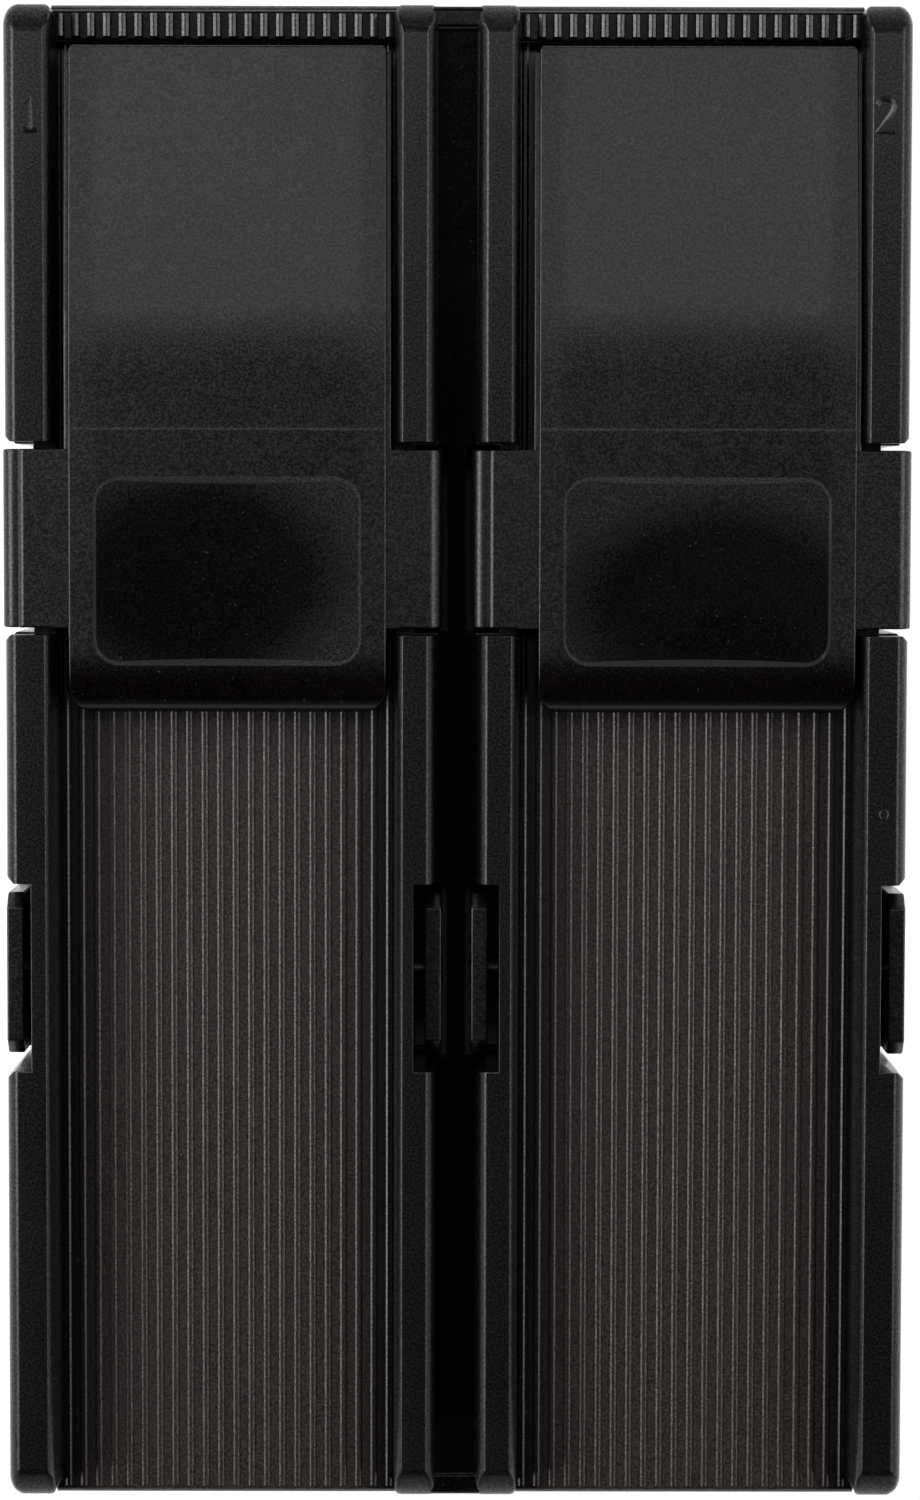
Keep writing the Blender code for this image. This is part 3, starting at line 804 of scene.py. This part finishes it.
def thumb_recess(guard, layout):
    """The cutter of the thumb recess: steep walls round a floor that dips across its width."""
    clip = guard.clip
    half, depth = clip.recess_width / 2, clip.recess_depth
    low_y = -RECESS_FROM_PIVOT - clip.recess_length / 2
    high_y = -RECESS_FROM_PIVOT + clip.recess_length / 2
    rings = []
    for inset, height in ((RECESS_WALL_SLOPE, -depth - UNDERCUT), (0, 0), (-OVERRUN, OVERRUN)):
        radius = RECESS_CORNER_RADIUS - inset
        ends = (low_y + inset, high_y - inset)
        outline = rounded_rectangle(-half + inset, half - inset, *ends, radius, radius)
        rings.append((outline, layout.tongue_face + height))
    walls = loft("recess_walls", "Z", rings)
    floor = []
    for step in range(DISH_STEPS + 1):
        share = 2 * step / DISH_STEPS - 1
        floor.append((share * half, layout.tongue_face - depth + (depth - RECESS_RIM_DEPTH) * share**2))
    above = layout.tongue_face + 2 * OVERRUN
    outline = floor + [(half + OVERRUN, floor[-1][1]), (half + OVERRUN, above)]
    outline += [(-half - OVERRUN, above), (-half - OVERRUN, floor[0][1])]
    dish = prism("recess", "Y", outline, low_y - OVERRUN, high_y + OVERRUN)
    return boolean(dish, "INTERSECT", [walls])


def make_clip_mesh(guard):
    """One clip about its pivot axis, its tail towards +Y and its face towards +Z."""
    layout = Layout(guard)
    clip = make_tongue(guard, layout)
    boolean(clip, "UNION", [make_flange(guard, layout)])
    recess = thumb_recess(guard, layout)
    moved(clip, TONGUE_SHIFT, 0, 0)
    moved(recess, TONGUE_SHIFT, 0, 0)
    boolean(clip, "UNION", [make_wing(layout)])
    half = layout.clip_half + OVERRUN
    bore = circle((0, 0), BOSS_RADIUS + BOSS_CLEARANCE)
    boolean(clip, "DIFFERENCE", [prism("bore", "X", bore, -half, half)])
    boolean(clip, "DIFFERENCE", [recess])
    return clip, layout


# ---------------------------------------------------------------- node trees


class Field:
    """A node's output, whose value varies from place to place, for use in plain sums."""

    def __init__(self, graph, socket):
        self.graph = graph
        self.socket = socket

    def output(self, name):
        """Another output of the same node."""
        return Field(self.graph, self.socket.node.outputs[name])

    def joined(self, operation, first, second=0.0):
        return self.graph.node("ShaderNodeMath", {"operation": operation}, {0: first, 1: second})

    def __add__(self, other):
        return self.joined("ADD", self, other)

    def __sub__(self, other):
        return self.joined("SUBTRACT", self, other)

    def __rsub__(self, other):
        return self.joined("SUBTRACT", other, self)

    def __mul__(self, other):
        return self.joined("MULTIPLY", self, other)

    def __abs__(self):
        return self.joined("ABSOLUTE", self)

    __radd__ = __add__
    __rmul__ = __mul__


class Graph:
    """A node tree, put together node by node."""

    def __init__(self, tree):
        self.tree = tree

    def put(self, socket, value):
        """Link a field to a socket, or set a fixed value on it."""
        if isinstance(value, Field):
            self.tree.links.new(value.socket, socket)
        else:
            socket.default_value = value

    def node(self, kind, settings=None, values=None, output=0):
        """One node: its settings first, then the values and links of its sockets."""
        node = self.tree.nodes.new(kind)
        for name, value in (settings or {}).items():
            setattr(node, name, value)
        for name, value in (values or {}).items():
            for each in value if isinstance(value, list) else [value]:
                self.put(node.inputs[name], each)
        return Field(self, node.outputs[output])

    def parts(self, vector):
        """The X, Y and Z of a vector."""
        split = self.node("ShaderNodeSeparateXYZ", None, {"Vector": vector})
        return [split.output(axis) for axis in "XYZ"]

    def ramp(self, value, low, high):
        """0 below low, 1 above high, and a smooth step between."""
        ends = {"Value": value, "From Min": low, "From Max": high}
        return self.node("ShaderNodeMapRange", {"interpolation_type": "SMOOTHSTEP"}, ends)

    def rays(self):
        """1 for a camera ray, and 1 for a ray that a surface has mirrored or let through."""
        seen = self.node("ShaderNodeLightPath", output="Is Camera Ray")
        return seen, seen.output("Is Glossy Ray") + seen.output("Is Transmission Ray")


# ---------------------------------------------------------------- ribs by Geometry Nodes


class GeometryTree(Graph):
    """A Geometry Nodes tree with named inputs."""

    def __init__(self, name):
        super().__init__(bpy.data.node_groups.new(name, "GeometryNodeTree"))
        self.inputs = {}
        self.start = self.tree.nodes.new("NodeGroupInput")
        self.end = self.tree.nodes.new("NodeGroupOutput")
        self.tree.interface.new_socket("Geometry", in_out="OUTPUT", socket_type="NodeSocketGeometry")

    def input(self, name, kind="NodeSocketFloat"):
        """A named input, whose identifier is kept for the modifier."""
        socket = self.tree.interface.new_socket(name, in_out="INPUT", socket_type=kind)
        self.inputs[name] = socket.identifier
        return Field(self, self.start.outputs[name])

    def point(self, x=0.0, y=0.0, z=0.0):
        return self.node("ShaderNodeCombineXYZ", None, {"X": x, "Y": y, "Z": z})

    def row(self, geometry, count, first, step):
        """Instances of a geometry in a row along X, from this place on."""
        places = {"Count": count, "Start Location": self.point(x=first), "Offset": self.point(x=step)}
        points = self.node("GeometryNodeMeshLine", None, places)
        return self.node("GeometryNodeInstanceOnPoints", None, {"Points": points, "Instance": geometry})


def rib_tree():
    """Rounded bars in a row across each of the plate's four channels."""
    tree = GeometryTree("Ribs across the channels")
    count = tree.input("Count", "NodeSocketInt")
    pitch, width, height = tree.input("Pitch"), tree.input("Width"), tree.input("Height")
    radius, start, end = tree.input("Edge Radius"), tree.input("Start"), tree.input("End")
    base, middle, lift = tree.input("Base Height"), tree.input("Channel Middle"), tree.input("Lift")
    material = tree.input("Material", "NodeSocketMaterial")
    outline = tree.node("GeometryNodeCurvePrimitiveQuadrilateral", None, {"Width": width, "Height": height})
    rounding = {"Curve": outline, "Count": CHAMFER_STEPS, "Radius": radius}
    profile = tree.node("GeometryNodeFilletCurve", {"mode": "POLY"}, rounding)
    ends = {"Start": tree.point(y=start, z=base), "End": tree.point(y=end, z=base)}
    line = tree.node("GeometryNodeCurvePrimitiveLine", None, ends)
    bar = {"Curve": line, "Profile Curve": profile, "Fill Caps": True}
    rib = tree.node("GeometryNodeCurveToMesh", None, bar)
    channel = tree.row(rib, count, (count - 1.0) * pitch * -0.5, pitch)
    face = tree.row(channel, 2, middle * -1.0, middle * 2.0)
    back = tree.node("GeometryNodeTransform", None, {"Geometry": face, "Rotation": (math.pi, 0.0, 0.0)})
    both = tree.node("GeometryNodeJoinGeometry", None, {"Geometry": [face, back]})
    lifted = tree.node("GeometryNodeTransform", None, {"Geometry": both, "Translation": tree.point(z=lift)})
    plain = tree.node("GeometryNodeRealizeInstances", None, {"Geometry": lifted})
    finished = tree.node("GeometryNodeSetMaterial", None, {"Geometry": plain, "Material": material})
    tree.put(tree.end.inputs[0], finished)
    return tree


def rows_of_ribs(name, guard, layout, sizes):
    """Run the rib tree with these sizes and return its plain mesh as an object."""
    tree = rib_tree()
    holder = new_object(name, bpy.data.meshes.new(name))
    modifier = holder.modifiers.new("ribs", "NODES")
    modifier.node_group = tree.tree
    shared = {
        "Count": guard.ribs.count,
        "Pitch": guard.ribs.pitch,
        "Channel Middle": layout.channel_middle,
        "Lift": layout.middle,
    }
    for socket, value in (shared | sizes).items():
        modifier[tree.inputs[socket]] = value
    return smoothed(applied(holder), RIB_SMOOTH_ANGLE)


# ---------------------------------------------------------------- finishes


class Finish(Graph):
    """A material's nodes, with the Principled shader's fixed values set on its own sockets."""

    def __init__(self, name):
        self.material = bpy.data.materials.new(name)
        self.material.use_nodes = True
        super().__init__(self.material.node_tree)
        self.shader = self.tree.nodes["Principled BSDF"]

    def set(self, values):
        """Fixed or varying values of the Principled shader, by socket."""
        for name, value in values.items():
            self.put(self.shader.inputs[name], value)

    def place(self):
        """The piece's own coordinates."""
        return self.node("ShaderNodeTexCoord", output="Object")

    def mapped(self, location, scale):
        """The piece's own coordinates, scaled and then shifted."""
        values = {"Vector": self.place(), "Location": location, "Scale": scale}
        return self.node("ShaderNodeMapping", None, values)

    def noise(self, size, detail=2.0, roughness=0.5, stretch=(1.0, 1.0, 1.0), offset=0.0, distortion=0.0):
        """Noise in the piece's own coordinates, with features about this many metres across."""
        values = {
            "Vector": self.mapped((offset, offset, offset), tuple(1 / (size * part) for part in stretch)),
            "Scale": 1.0,
            "Detail": detail,
            "Roughness": roughness,
            "Distortion": distortion,
        }
        return self.node("ShaderNodeTexNoise", None, values)

    def spot(self, x, y, reach_x, reach_y, core=0.2):
        """1 at a place on the face, falling from the core to 0 at these distances from it."""
        shifted = self.mapped((-x / reach_x, -y / reach_y, 0.0), (1 / reach_x, 1 / reach_y, 0.0))
        away = self.node("ShaderNodeVectorMath", {"operation": "LENGTH"}, {"Vector": shifted}, "Value")
        return 1.0 - self.ramp(away, core, 1.0)

    def mix(self, share, first, second):
        """Two colours, mixed by a share that varies."""
        return self.node("ShaderNodeMix", {"data_type": "RGBA"}, {0: share, 6: first, 7: second}, output=2)

    def bump(self, height, distance, normal=None):
        """The normal, tilted as a surface with this height times this distance would tilt it."""
        values = {"Height": height, "Distance": distance, "Strength": 1.0}
        if normal is not None:
            values["Normal"] = normal
        return self.node("ShaderNodeBump", None, values)


def shade(colour, factor):
    return tuple(part * factor for part in colour[:3]) + (1.0,)


def place_on_clip(finish):
    """How far a point of a clip is across and along from its pivot."""
    place = finish.node("ShaderNodeAttribute", {"attribute_name": PLACE_ATTRIBUTE}, output="Vector")
    return finish.parts(place)[:2]


def polish_of_face(finish):
    """1 where hands have polished a clip, 0 on its borders, wings and lip."""
    across, along = place_on_clip(finish)
    inside = 1.0 - finish.ramp(abs(across - TONGUE_SHIFT), *POLISHED_ACROSS)
    return inside * finish.ramp(along, *POLISHED_ALONG)


def polish_of_lip(finish):
    """1 along the lip, which every reed has slid under, 0 from the recess on."""
    return 1.0 - finish.ramp(place_on_clip(finish)[1], *WORN_LIP_ALONG)


def polish_of_recess(finish):
    """1 where thumbs rest in the recesses, fading towards the rims."""
    left, right = (finish.spot(*place, THUMBED_CORE) for place in THUMBED)
    return left + right


def clear_of_wall_shade(finish, layout):
    """1 along the middle of each channel, 0 beside the walls, where the floor is darkened as painted shade
    and its roughness is changed.
    """
    across = finish.parts(finish.place())[0]
    half = layout.channel_outer - layout.channel_middle
    low, high = (half - margin for margin in WALL_SHADE_MARGINS)
    return 1.0 - finish.ramp(abs(abs(across) - layout.channel_middle), low, high)


def moulded_plastic(
    name, colour, roughness, grain_height, wear, gloss=None, polish=(), wall_shade=None, scuffed=(), shine=1.0
):
    """Black moulded plastic: fine grain, faint mottling, hairline scuffs and dust.

    gloss is the roughness of the skin over the grain. Each polish makes a share, by place,
    with the roughness there and the part of the skin that it takes off. wall_shade makes the share
    that keeps the plain colour and roughness; elsewhere the colour is darkened as painted shade
    and the roughness is changed. shine scales what it mirrors.
    """
    finish = Finish(name)
    gloss = gloss or roughness
    skin = shine
    for place, polished, lost_skin in polish:
        share = place(finish)
        roughness = share * (polished - roughness) + roughness
        skin = (1.0 - share * lost_skin) * skin
    fine = finish.noise(**GRAIN_NOISE)
    swell = finish.noise(**SWELL_NOISE)
    mottle = finish.noise(**MOTTLE_NOISE)
    touched = finish.ramp(finish.noise(**TOUCH_NOISE), *TOUCH_RANGE)
    for place in scuffed:
        touched = touched + finish.spot(*place)
    hairs = finish.ramp(finish.noise(stretch=HAIR_STRETCH, **HAIR_NOISE), *HAIR_RANGE)
    crossing = finish.ramp(finish.noise(stretch=CROSSING_STRETCH, **CROSSING_NOISE), *CROSSING_RANGE)
    scuffs = (hairs + crossing) * touched * wear
    speck = finish.ramp(finish.noise(**SPECK_NOISE), *SPECK_RANGE)
    grains = finish.ramp(fine, *GRAIN_RANGE)
    hazy = finish.ramp(mottle, *MOTTLE_RANGE) * HAZE_SHARE
    dark, light = (shade(colour, factor) for factor in GRAIN_SHADES)
    base = finish.mix(hazy, finish.mix(grains, dark, light), HAZE)
    # Painted shade: beside the channel walls the colour is darkened to stand in for their shade, and the
    # roughness is changed there.
    if wall_shade is not None:
        share = wall_shade(finish)
        base = finish.mix(share, shade(colour, PAINTED_WALL_SHADE), base)
        roughness = share * (roughness - NEAR_WALL_ROUGHNESS) + NEAR_WALL_ROUGHNESS
    worn = finish.mix(scuffs * SCUFF_SHARE, base, HAZE)
    uneven = (mottle - 0.5) + (fine - 0.5) + scuffs
    soft = finish.bump(swell, SWELL_HEIGHT)
    grainy = finish.bump(fine, grain_height, soft)
    finish.set(
        {
            "Base Color": finish.mix(speck * DUST_SHARE, worn, DUST),
            "Roughness": uneven * ROUGHNESS_SPREAD + roughness,
            "Metallic": 0.0,
            "Specular IOR Level": SPECULAR_LEVEL * shine,
            "Coat Weight": (grains * COAT_ON_GRAINS + COAT_BETWEEN) * skin,
            "Coat Roughness": gloss,
            "Normal": finish.bump(scuffs, SCUFF_HEIGHT, grainy),
        }
    )
    return finish.material


def wall_shaded_plastic(name, grain_height, look, layout):
    """The floors' and ribs' plastic, darkened beside the channel walls as painted shade, with its roughness
    changed there.
    """
    return moulded_plastic(
        name, look.floor_colour, look.floor_roughness, grain_height, LESS_WEAR, look.rib_roughness,
        wall_shade=lambda finish: clear_of_wall_shade(finish, layout),
    )


def clip_plastic(look):
    """The clips' plastic: satin at the wings and the borders, polished by thumbs in the middle."""
    return moulded_plastic(
        "clip_plastic", look.clip_colour, look.clip_roughness, CLIP_GRAIN, WEAR, look.skin_roughness,
        polish=((polish_of_face, look.recess_roughness, 0.0), (polish_of_lip, look.recess_roughness, 1.0)),
        scuffed=SCUFFED,
    )


def covered(thing, *plastics):
    """Give the mesh these materials instead of its own."""
    thing.data.materials.clear()
    for plastic in plastics:
        thing.data.materials.append(plastic)
    return thing


def paint_floors(plate, layout):
    """Give the channel floors the matte finish, and the end walls and the valley the glossy one, whose
    darker colour is painted shade.
    """
    for face in plate.data.polygons:
        x, z = abs(face.center.x), abs(face.center.z - layout.middle)
        in_channel = layout.channel_inner + SINK / 2 < x < layout.channel_outer - SINK / 2
        in_valley = x < layout.valley - MERGE_DISTANCE and z < layout.middle - VALLEY_END_DROP / 2
        if in_channel:
            face.material_index = 1 if z < layout.floor + MERGE_DISTANCE else 2
        else:
            face.material_index = 2 if in_valley else 0


def paint_recess(pattern, guard, layout):
    """Give the floor of the thumb recess its smoother finish, whose darker colour is painted shade."""
    half_width, half_length = guard.clip.recess_width / 2, guard.clip.recess_length / 2
    for face in pattern.data.polygons:
        x, y = face.center.x - TONGUE_SHIFT, face.center.y + RECESS_FROM_PIVOT
        sunk = layout.wing_under < face.center.z < layout.tongue_face - RECESS_RIM_DEPTH / 2
        face.material_index = int(abs(x) < half_width and abs(y) < half_length and sunk)


# ---------------------------------------------------------------- moulding marks


def digit_strokes(number):
    """The strokes of a plain position digit, as lines through points in half heights."""
    if number == 1:
        return [[(-0.4, 0.62), (0.0, 1.0), (0.0, -1.0)], [(-0.4, -1.0), (0.4, -1.0)]]
    if number == 2:
        return [arc((0, 0.5), 0.5, 165, -35, ARC_STEPS) + [(-0.52, -1.0), (0.56, -1.0)]]
    if number == 3:
        upper, lower = arc((0, 0.5), 0.5, 160, -80, ARC_STEPS), arc((0, -0.5), 0.52, 80, -160, ARC_STEPS)
        return [upper + [(-0.1, 0.0)] + lower]
    return [[(0.25, -1.0), (0.25, 1.0), (-0.55, -0.35), (0.55, -0.35)]]


def raised_strokes(strokes, centre, scale, radius, closed=False):
    """Half-sunk strokes on a face, with sloping sides."""
    curve = bpy.data.curves.new("strokes", "CURVE")
    curve.dimensions = "3D"
    curve.bevel_depth = radius
    curve.bevel_resolution = 0
    curve.use_fill_caps = True
    for stroke in strokes:
        spline = curve.splines.new("POLY")
        spline.points.add(len(stroke) - 1)
        spline.use_cyclic_u = closed
        for point, (x, y) in zip(spline.points, stroke):
            point.co = (centre[0] + scale * x, centre[1] + scale * y, 0, 1)
    holder = new_object("strokes", curve)
    evaluated = holder.evaluated_get(bpy.context.evaluated_depsgraph_get())
    made = new_object("strokes", bpy.data.meshes.new_from_object(evaluated))
    made.data.transform(Matrix.Diagonal((1, 1, STROKE_FLATNESS, 1)))
    bpy.data.objects.remove(holder, do_unlink=True)
    return moved(made, 0, 0, centre[2])


def gate_mark(layout):
    """The low lens-shaped stub that the runner left on the end of a floor."""
    half = GATE_WIDTH / 2
    bulge = arc((GATE_X, -layout.floor_end), (half, -GATE_PROUD), 0, 180, ROUND_SIDES)
    inside = SINK - layout.floor_end
    outline = bulge + [(GATE_X - half, inside), (GATE_X + half, inside)]
    return prism("gate_mark", "Z", outline, -layout.floor / 2, layout.floor / 2)


def joined(name, things):
    """One object from several, which are then removed."""
    form = bmesh.new()
    for thing in things:
        form.from_mesh(thing.data)
        bpy.data.objects.remove(thing, do_unlink=True)
    return from_bmesh(name, form)


# ---------------------------------------------------------------- stage


def make_floor(guard):
    """A pale floor that shows white, except under the guard, where only stray light reaches it."""
    layout = Layout(guard)
    half, top = STUDIO_FLOOR_SIZE / 2, -STUDIO_FLOOR_DROP
    floor = box("studio_floor", (-half, -half, top - STUDIO_FLOOR_THICKNESS), (half, half, top))
    finish = Finish("studio_floor")
    colour = shade(guard.stage.floor_colour, 1)
    finish.set({"Base Color": colour, "Roughness": STUDIO_ROUGHNESS, "Specular IOR Level": STUDIO_SPECULAR})
    if guard.stage.white_backdrop:
        x, y, _ = finish.parts(finish.place())
        across, along = abs(x) - layout.half_width, abs(y) - layout.half_length
        outside = finish.ramp(across.joined("MAXIMUM", across, along), *BACKDROP_EDGE)
        seen, mirrored = finish.rays()
        glow = finish.node("ShaderNodeEmission", None, {"Color": WHITE, "Strength": BACKDROP_GLOW})
        plain = Field(finish, finish.shader.outputs["BSDF"])
        share = (seen + mirrored) * outside * BACKDROP_SHARE
        glowing = finish.node("ShaderNodeMixShader", None, {0: share, 1: plain, 2: glow})
        finish.put(finish.tree.nodes["Material Output"].inputs["Surface"], glowing)
    covered(floor, finish.material)


def make_lamp(name, across, along, distance, size, radiance):
    """A rectangular lamp this many degrees off the zenith each way, with this much radiance."""
    light = bpy.data.lights.new(name, "AREA")
    light.shape = "RECTANGLE"
    light.size, light.size_y = size
    light.energy = radiance * math.pi * size[0] * size[1]
    lamp = new_object(name, light)
    way = Vector((math.tan(math.radians(across)), math.tan(math.radians(along)), 1)).normalized()
    lamp.location = way * distance
    lamp.rotation_euler = way.to_track_quat("Z", "Y").to_euler()
    return lamp


def make_lamps(guard):
    stage = guard.stage
    for name, across, radiance in (
        ("left_softbox", -SIDE_LAMP_ACROSS, stage.left_radiance),
        ("right_softbox", SIDE_LAMP_ACROSS, stage.right_radiance),
    ):
        make_lamp(name, across, SIDE_LAMP_ALONG, SIDE_LAMP_DISTANCE, SIDE_LAMP_SIZE, radiance)
    make_lamp("top_softbox", 0, TOP_LAMP_ALONG, TOP_LAMP_DISTANCE, TOP_LAMP_SIZE, stage.top_radiance)


def make_world(context, guard):
    """A dim room with pale walls, which are seen and mirrored but give no light."""
    world = bpy.data.worlds.new("studio")
    world.use_nodes = True
    room = Graph(world.node_tree)
    height = room.parts(room.node("ShaderNodeTexCoord", output="Generated"))[2]
    walls = 1.0 - room.ramp(height, ROOM_BRIGHT_TO, ROOM_DARK_FROM)
    seen, mirrored = room.rays()
    shown = seen + mirrored * walls if guard.stage.white_backdrop else 0.0
    background = room.tree.nodes["Background"]
    room.put(background.inputs["Color"], WHITE)
    room.put(background.inputs["Strength"], shown + guard.stage.fill)
    context.scene.world = world


def make_camera(context):
    data = bpy.data.cameras.new("camera")
    data.sensor_fit = "VERTICAL"
    data.sensor_height = SENSOR_HEIGHT
    data.lens = CAMERA_FOCAL_PIXELS / PICTURE_HEIGHT * SENSOR_HEIGHT
    data.clip_start = CAMERA_NEAREST
    camera = new_object("camera", data)
    camera.location = (*CAMERA_FOOT, CAMERA_DISTANCE + RAIL_TOP)
    camera.rotation_euler = CAMERA_TURN
    context.scene.camera = camera


# ---------------------------------------------------------------- operators


def guard_of(context):
    return context.scene.reed_guard


class REEDGUARD_OT_plate(bpy.types.Operator):
    """Build the moulded plate: webs, rails, end walls, valley, notches and pivot bosses"""

    bl_idname = "reed_guard.plate"
    bl_label = "Build Plate"

    def execute(self, context):
        guard = guard_of(context)
        look = guard.finishes
        plate, layout = make_plate(guard)
        smoothed(plate, SMOOTH_ANGLE)
        rails = moulded_plastic(
            "rail_plastic", look.rail_colour, look.rail_roughness, RAIL_GRAIN, WEAR, look.skin_roughness,
            shine=RAIL_SHINE,
        )
        # Painted shade: the floors are darkened beside the channel walls.
        floors = wall_shaded_plastic("floor_plastic", FLOOR_GRAIN, look, layout)
        # Painted shade: the end walls and the valley take the darker colour, standing in for the shade
        # there.
        walls = moulded_plastic(
            "wall_plastic", look.painted_shade_colour, look.rail_roughness, WALL_GRAIN, LESS_WEAR, shine=WALL_SHINE
        )
        paint_floors(covered(plate, rails, floors, walls), layout)
        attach(plate, "body")
        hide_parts("body")
        return {"FINISHED"}


class REEDGUARD_OT_floor_ribs(bpy.types.Operator):
    """Lay the fine ribs along the four channel floors"""

    bl_idname = "reed_guard.floor_ribs"
    bl_label = "Lay Floor Ribs"

    def execute(self, context):
        guard = guard_of(context)
        layout, ribs = Layout(guard), guard.ribs
        sizes = {
            "Width": ribs.width,
            "Height": 2 * ribs.height,
            "Edge Radius": ribs.height,
            "Start": FLOOR_EDGE_RADIUS - layout.floor_end - FLOOR_RUNOUT,
            "End": layout.wall_start + SINK,
            "Base Height": layout.floor,
            # Painted shade: the ribs are darkened beside the channel walls, as the floors are.
            "Material": wall_shaded_plastic("rib_plastic", RAIL_GRAIN, guard.finishes, layout),
        }
        piece = rows_of_ribs("floor_ribs", guard, layout, sizes)
        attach(piece, "body")
        return {"FINISHED"}


class REEDGUARD_OT_end_bars(bpy.types.Operator):
    """Stand the bars on the four end walls"""

    bl_idname = "reed_guard.end_bars"
    bl_label = "Stand End Bars"

    def execute(self, context):
        guard = guard_of(context)
        layout, ribs, look = Layout(guard), guard.ribs, guard.finishes
        glossy = moulded_plastic("bar_plastic", look.rail_colour, look.bar_roughness, WALL_GRAIN, LESS_WEAR)
        sizes = {
            "Width": ribs.bar_width,
            "Height": 2 * ribs.bar_height,
            "Edge Radius": BAR_EDGE_RADIUS,
            "Start": layout.wall_start + BAR_INNER_MARGIN,
            "End": layout.wall_face - BAR_OUTER_MARGIN,
            "Base Height": layout.bar_top - ribs.bar_height,
            "Material": glossy,
        }
        piece = rows_of_ribs("end_wall_bars", guard, layout, sizes)
        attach(piece, "body")
        return {"FINISHED"}


class REEDGUARD_OT_clips(bpy.types.Operator):
    """Build the four rocking clips, two on each face"""

    bl_idname = "reed_guard.clips"
    bl_label = "Build Clips"

    def execute(self, context):
        guard = guard_of(context)
        look = guard.finishes
        pattern, layout = make_clip_mesh(guard)
        smoothed(pattern, SMOOTH_ANGLE)
        # Painted shade: the recess floor takes the darker colour, standing in for the recess's shade; its
        # polish is real wear.
        recess = moulded_plastic(
            "recess_plastic", look.painted_shade_colour, look.clip_roughness, RECESS_GRAIN, MORE_WEAR,
            look.skin_roughness, ((polish_of_recess, look.recess_roughness, THUMBED_SKIN),), scuffed=SCUFFED,
        )
        paint_recess(covered(pattern, clip_plastic(look), recess), guard, layout)
        places = pattern.data.attributes.new(PLACE_ATTRIBUTE, "FLOAT_VECTOR", "POINT")
        for corner, place in zip(pattern.data.vertices, places.data):
            place.vector = corner.co
        places = [(-1, 1), (1, 1), (-1, -1), (1, -1)]
        for number, (side, face) in enumerate(places, start=1):
            mesh = pattern.data.copy()
            if face < 0:
                mesh.transform(HALF_TURN)
            clip = new_object(f"rocking_clip_{number}", mesh)
            moved(clip, side * layout.clip_offset, face * layout.pivot_y, layout.middle)
            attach(clip, f"clip_{number}")
            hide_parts(f"clip_{number}")
        bpy.data.objects.remove(pattern, do_unlink=True)
        return {"FINISHED"}


class REEDGUARD_OT_marks(bpy.types.Operator):
    """Add the position digits and the small moulding marks"""

    bl_idname = "reed_guard.marks"
    bl_label = "Add Marks"

    def execute(self, context):
        layout = Layout(guard_of(context))
        digits = []
        for number, side in ((1, -1), (2, 1), (3, -1), (4, 1)):
            place = (side * DIGIT_X, DIGIT_Y, layout.middle)
            digits.append(raised_strokes(digit_strokes(number), place, DIGIT_HEIGHT / 2, DIGIT_STROKE))
        for digit in digits[2:]:
            digit.data.transform(HALF_TURN)
        dot, dash = (*DOT_PLACE, layout.middle), (*DASH_PLACE, layout.floor)
        small = [
            raised_strokes([circle((0, 0), 1)], dot, DOT_RADIUS, DOT_STROKE, True),
            raised_strokes([[(0, 0), (DOT_TICK, 0)]], dot, DOT_RADIUS, 2 * DOT_STROKE),
            raised_strokes([[(-1, 0), (1, 0)]], dash, DOT_RADIUS, DOT_STROKE),
        ]
        marks = joined("moulding_marks", digits + small + [gate_mark(layout)])
        moved(smoothed(marks, MARK_SMOOTH_ANGLE), 0, 0, layout.middle)
        covered(marks, bpy.data.materials["rail_plastic"])
        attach(marks, "body")
        return {"FINISHED"}


class REEDGUARD_OT_stage(bpy.types.Operator):
    """Set the floor, the lamps, the world and the camera"""

    bl_idname = "reed_guard.stage"
    bl_label = "Set Stage"

    def execute(self, context):
        guard = guard_of(context)
        make_floor(guard)
        make_lamps(guard)
        make_world(context, guard)
        make_camera(context)
        context.scene.view_settings.view_transform = "Standard"
        return {"FINISHED"}


# ---------------------------------------------------------------- sidebar and registration


class REEDGUARD_PT_panel(bpy.types.Panel):
    """The guard's sizes, finishes and operators."""

    bl_label = "Reed Guard"
    bl_idname = "REEDGUARD_PT_panel"
    bl_space_type = "VIEW_3D"
    bl_region_type = "UI"
    bl_category = "Reed Guard"

    def draw(self, context):
        guard = guard_of(context)
        for group in (guard.plate, guard.ribs, guard.clip, guard.finishes, guard.stage):
            part = self.layout.box()
            part.label(text=type(group).__doc__)
            for name in type(group).__annotations__:
                part.prop(group, name)
        for operator in OPERATORS:
            self.layout.operator(operator.bl_idname)


GROUPS = (PlateSizes, RibSizes, ClipSizes, Finishes, StageSettings, GuardSettings)
OPERATORS = (
    REEDGUARD_OT_plate,
    REEDGUARD_OT_floor_ribs,
    REEDGUARD_OT_end_bars,
    REEDGUARD_OT_clips,
    REEDGUARD_OT_marks,
    REEDGUARD_OT_stage,
)


def register():
    for kind in GROUPS + OPERATORS + (REEDGUARD_PT_panel,):
        bpy.utils.register_class(kind)
    bpy.types.Scene.reed_guard = PointerProperty(type=GuardSettings)


def unregister():
    del bpy.types.Scene.reed_guard
    for kind in reversed(GROUPS + OPERATORS + (REEDGUARD_PT_panel,)):
        bpy.utils.unregister_class(kind)


def main():
    register()
    bpy.ops.reed_guard.plate()
    bpy.ops.reed_guard.floor_ribs()
    bpy.ops.reed_guard.end_bars()
    bpy.ops.reed_guard.clips()
    bpy.ops.reed_guard.marks()
    bpy.ops.reed_guard.stage()


if __name__ == "__main__":
    main()
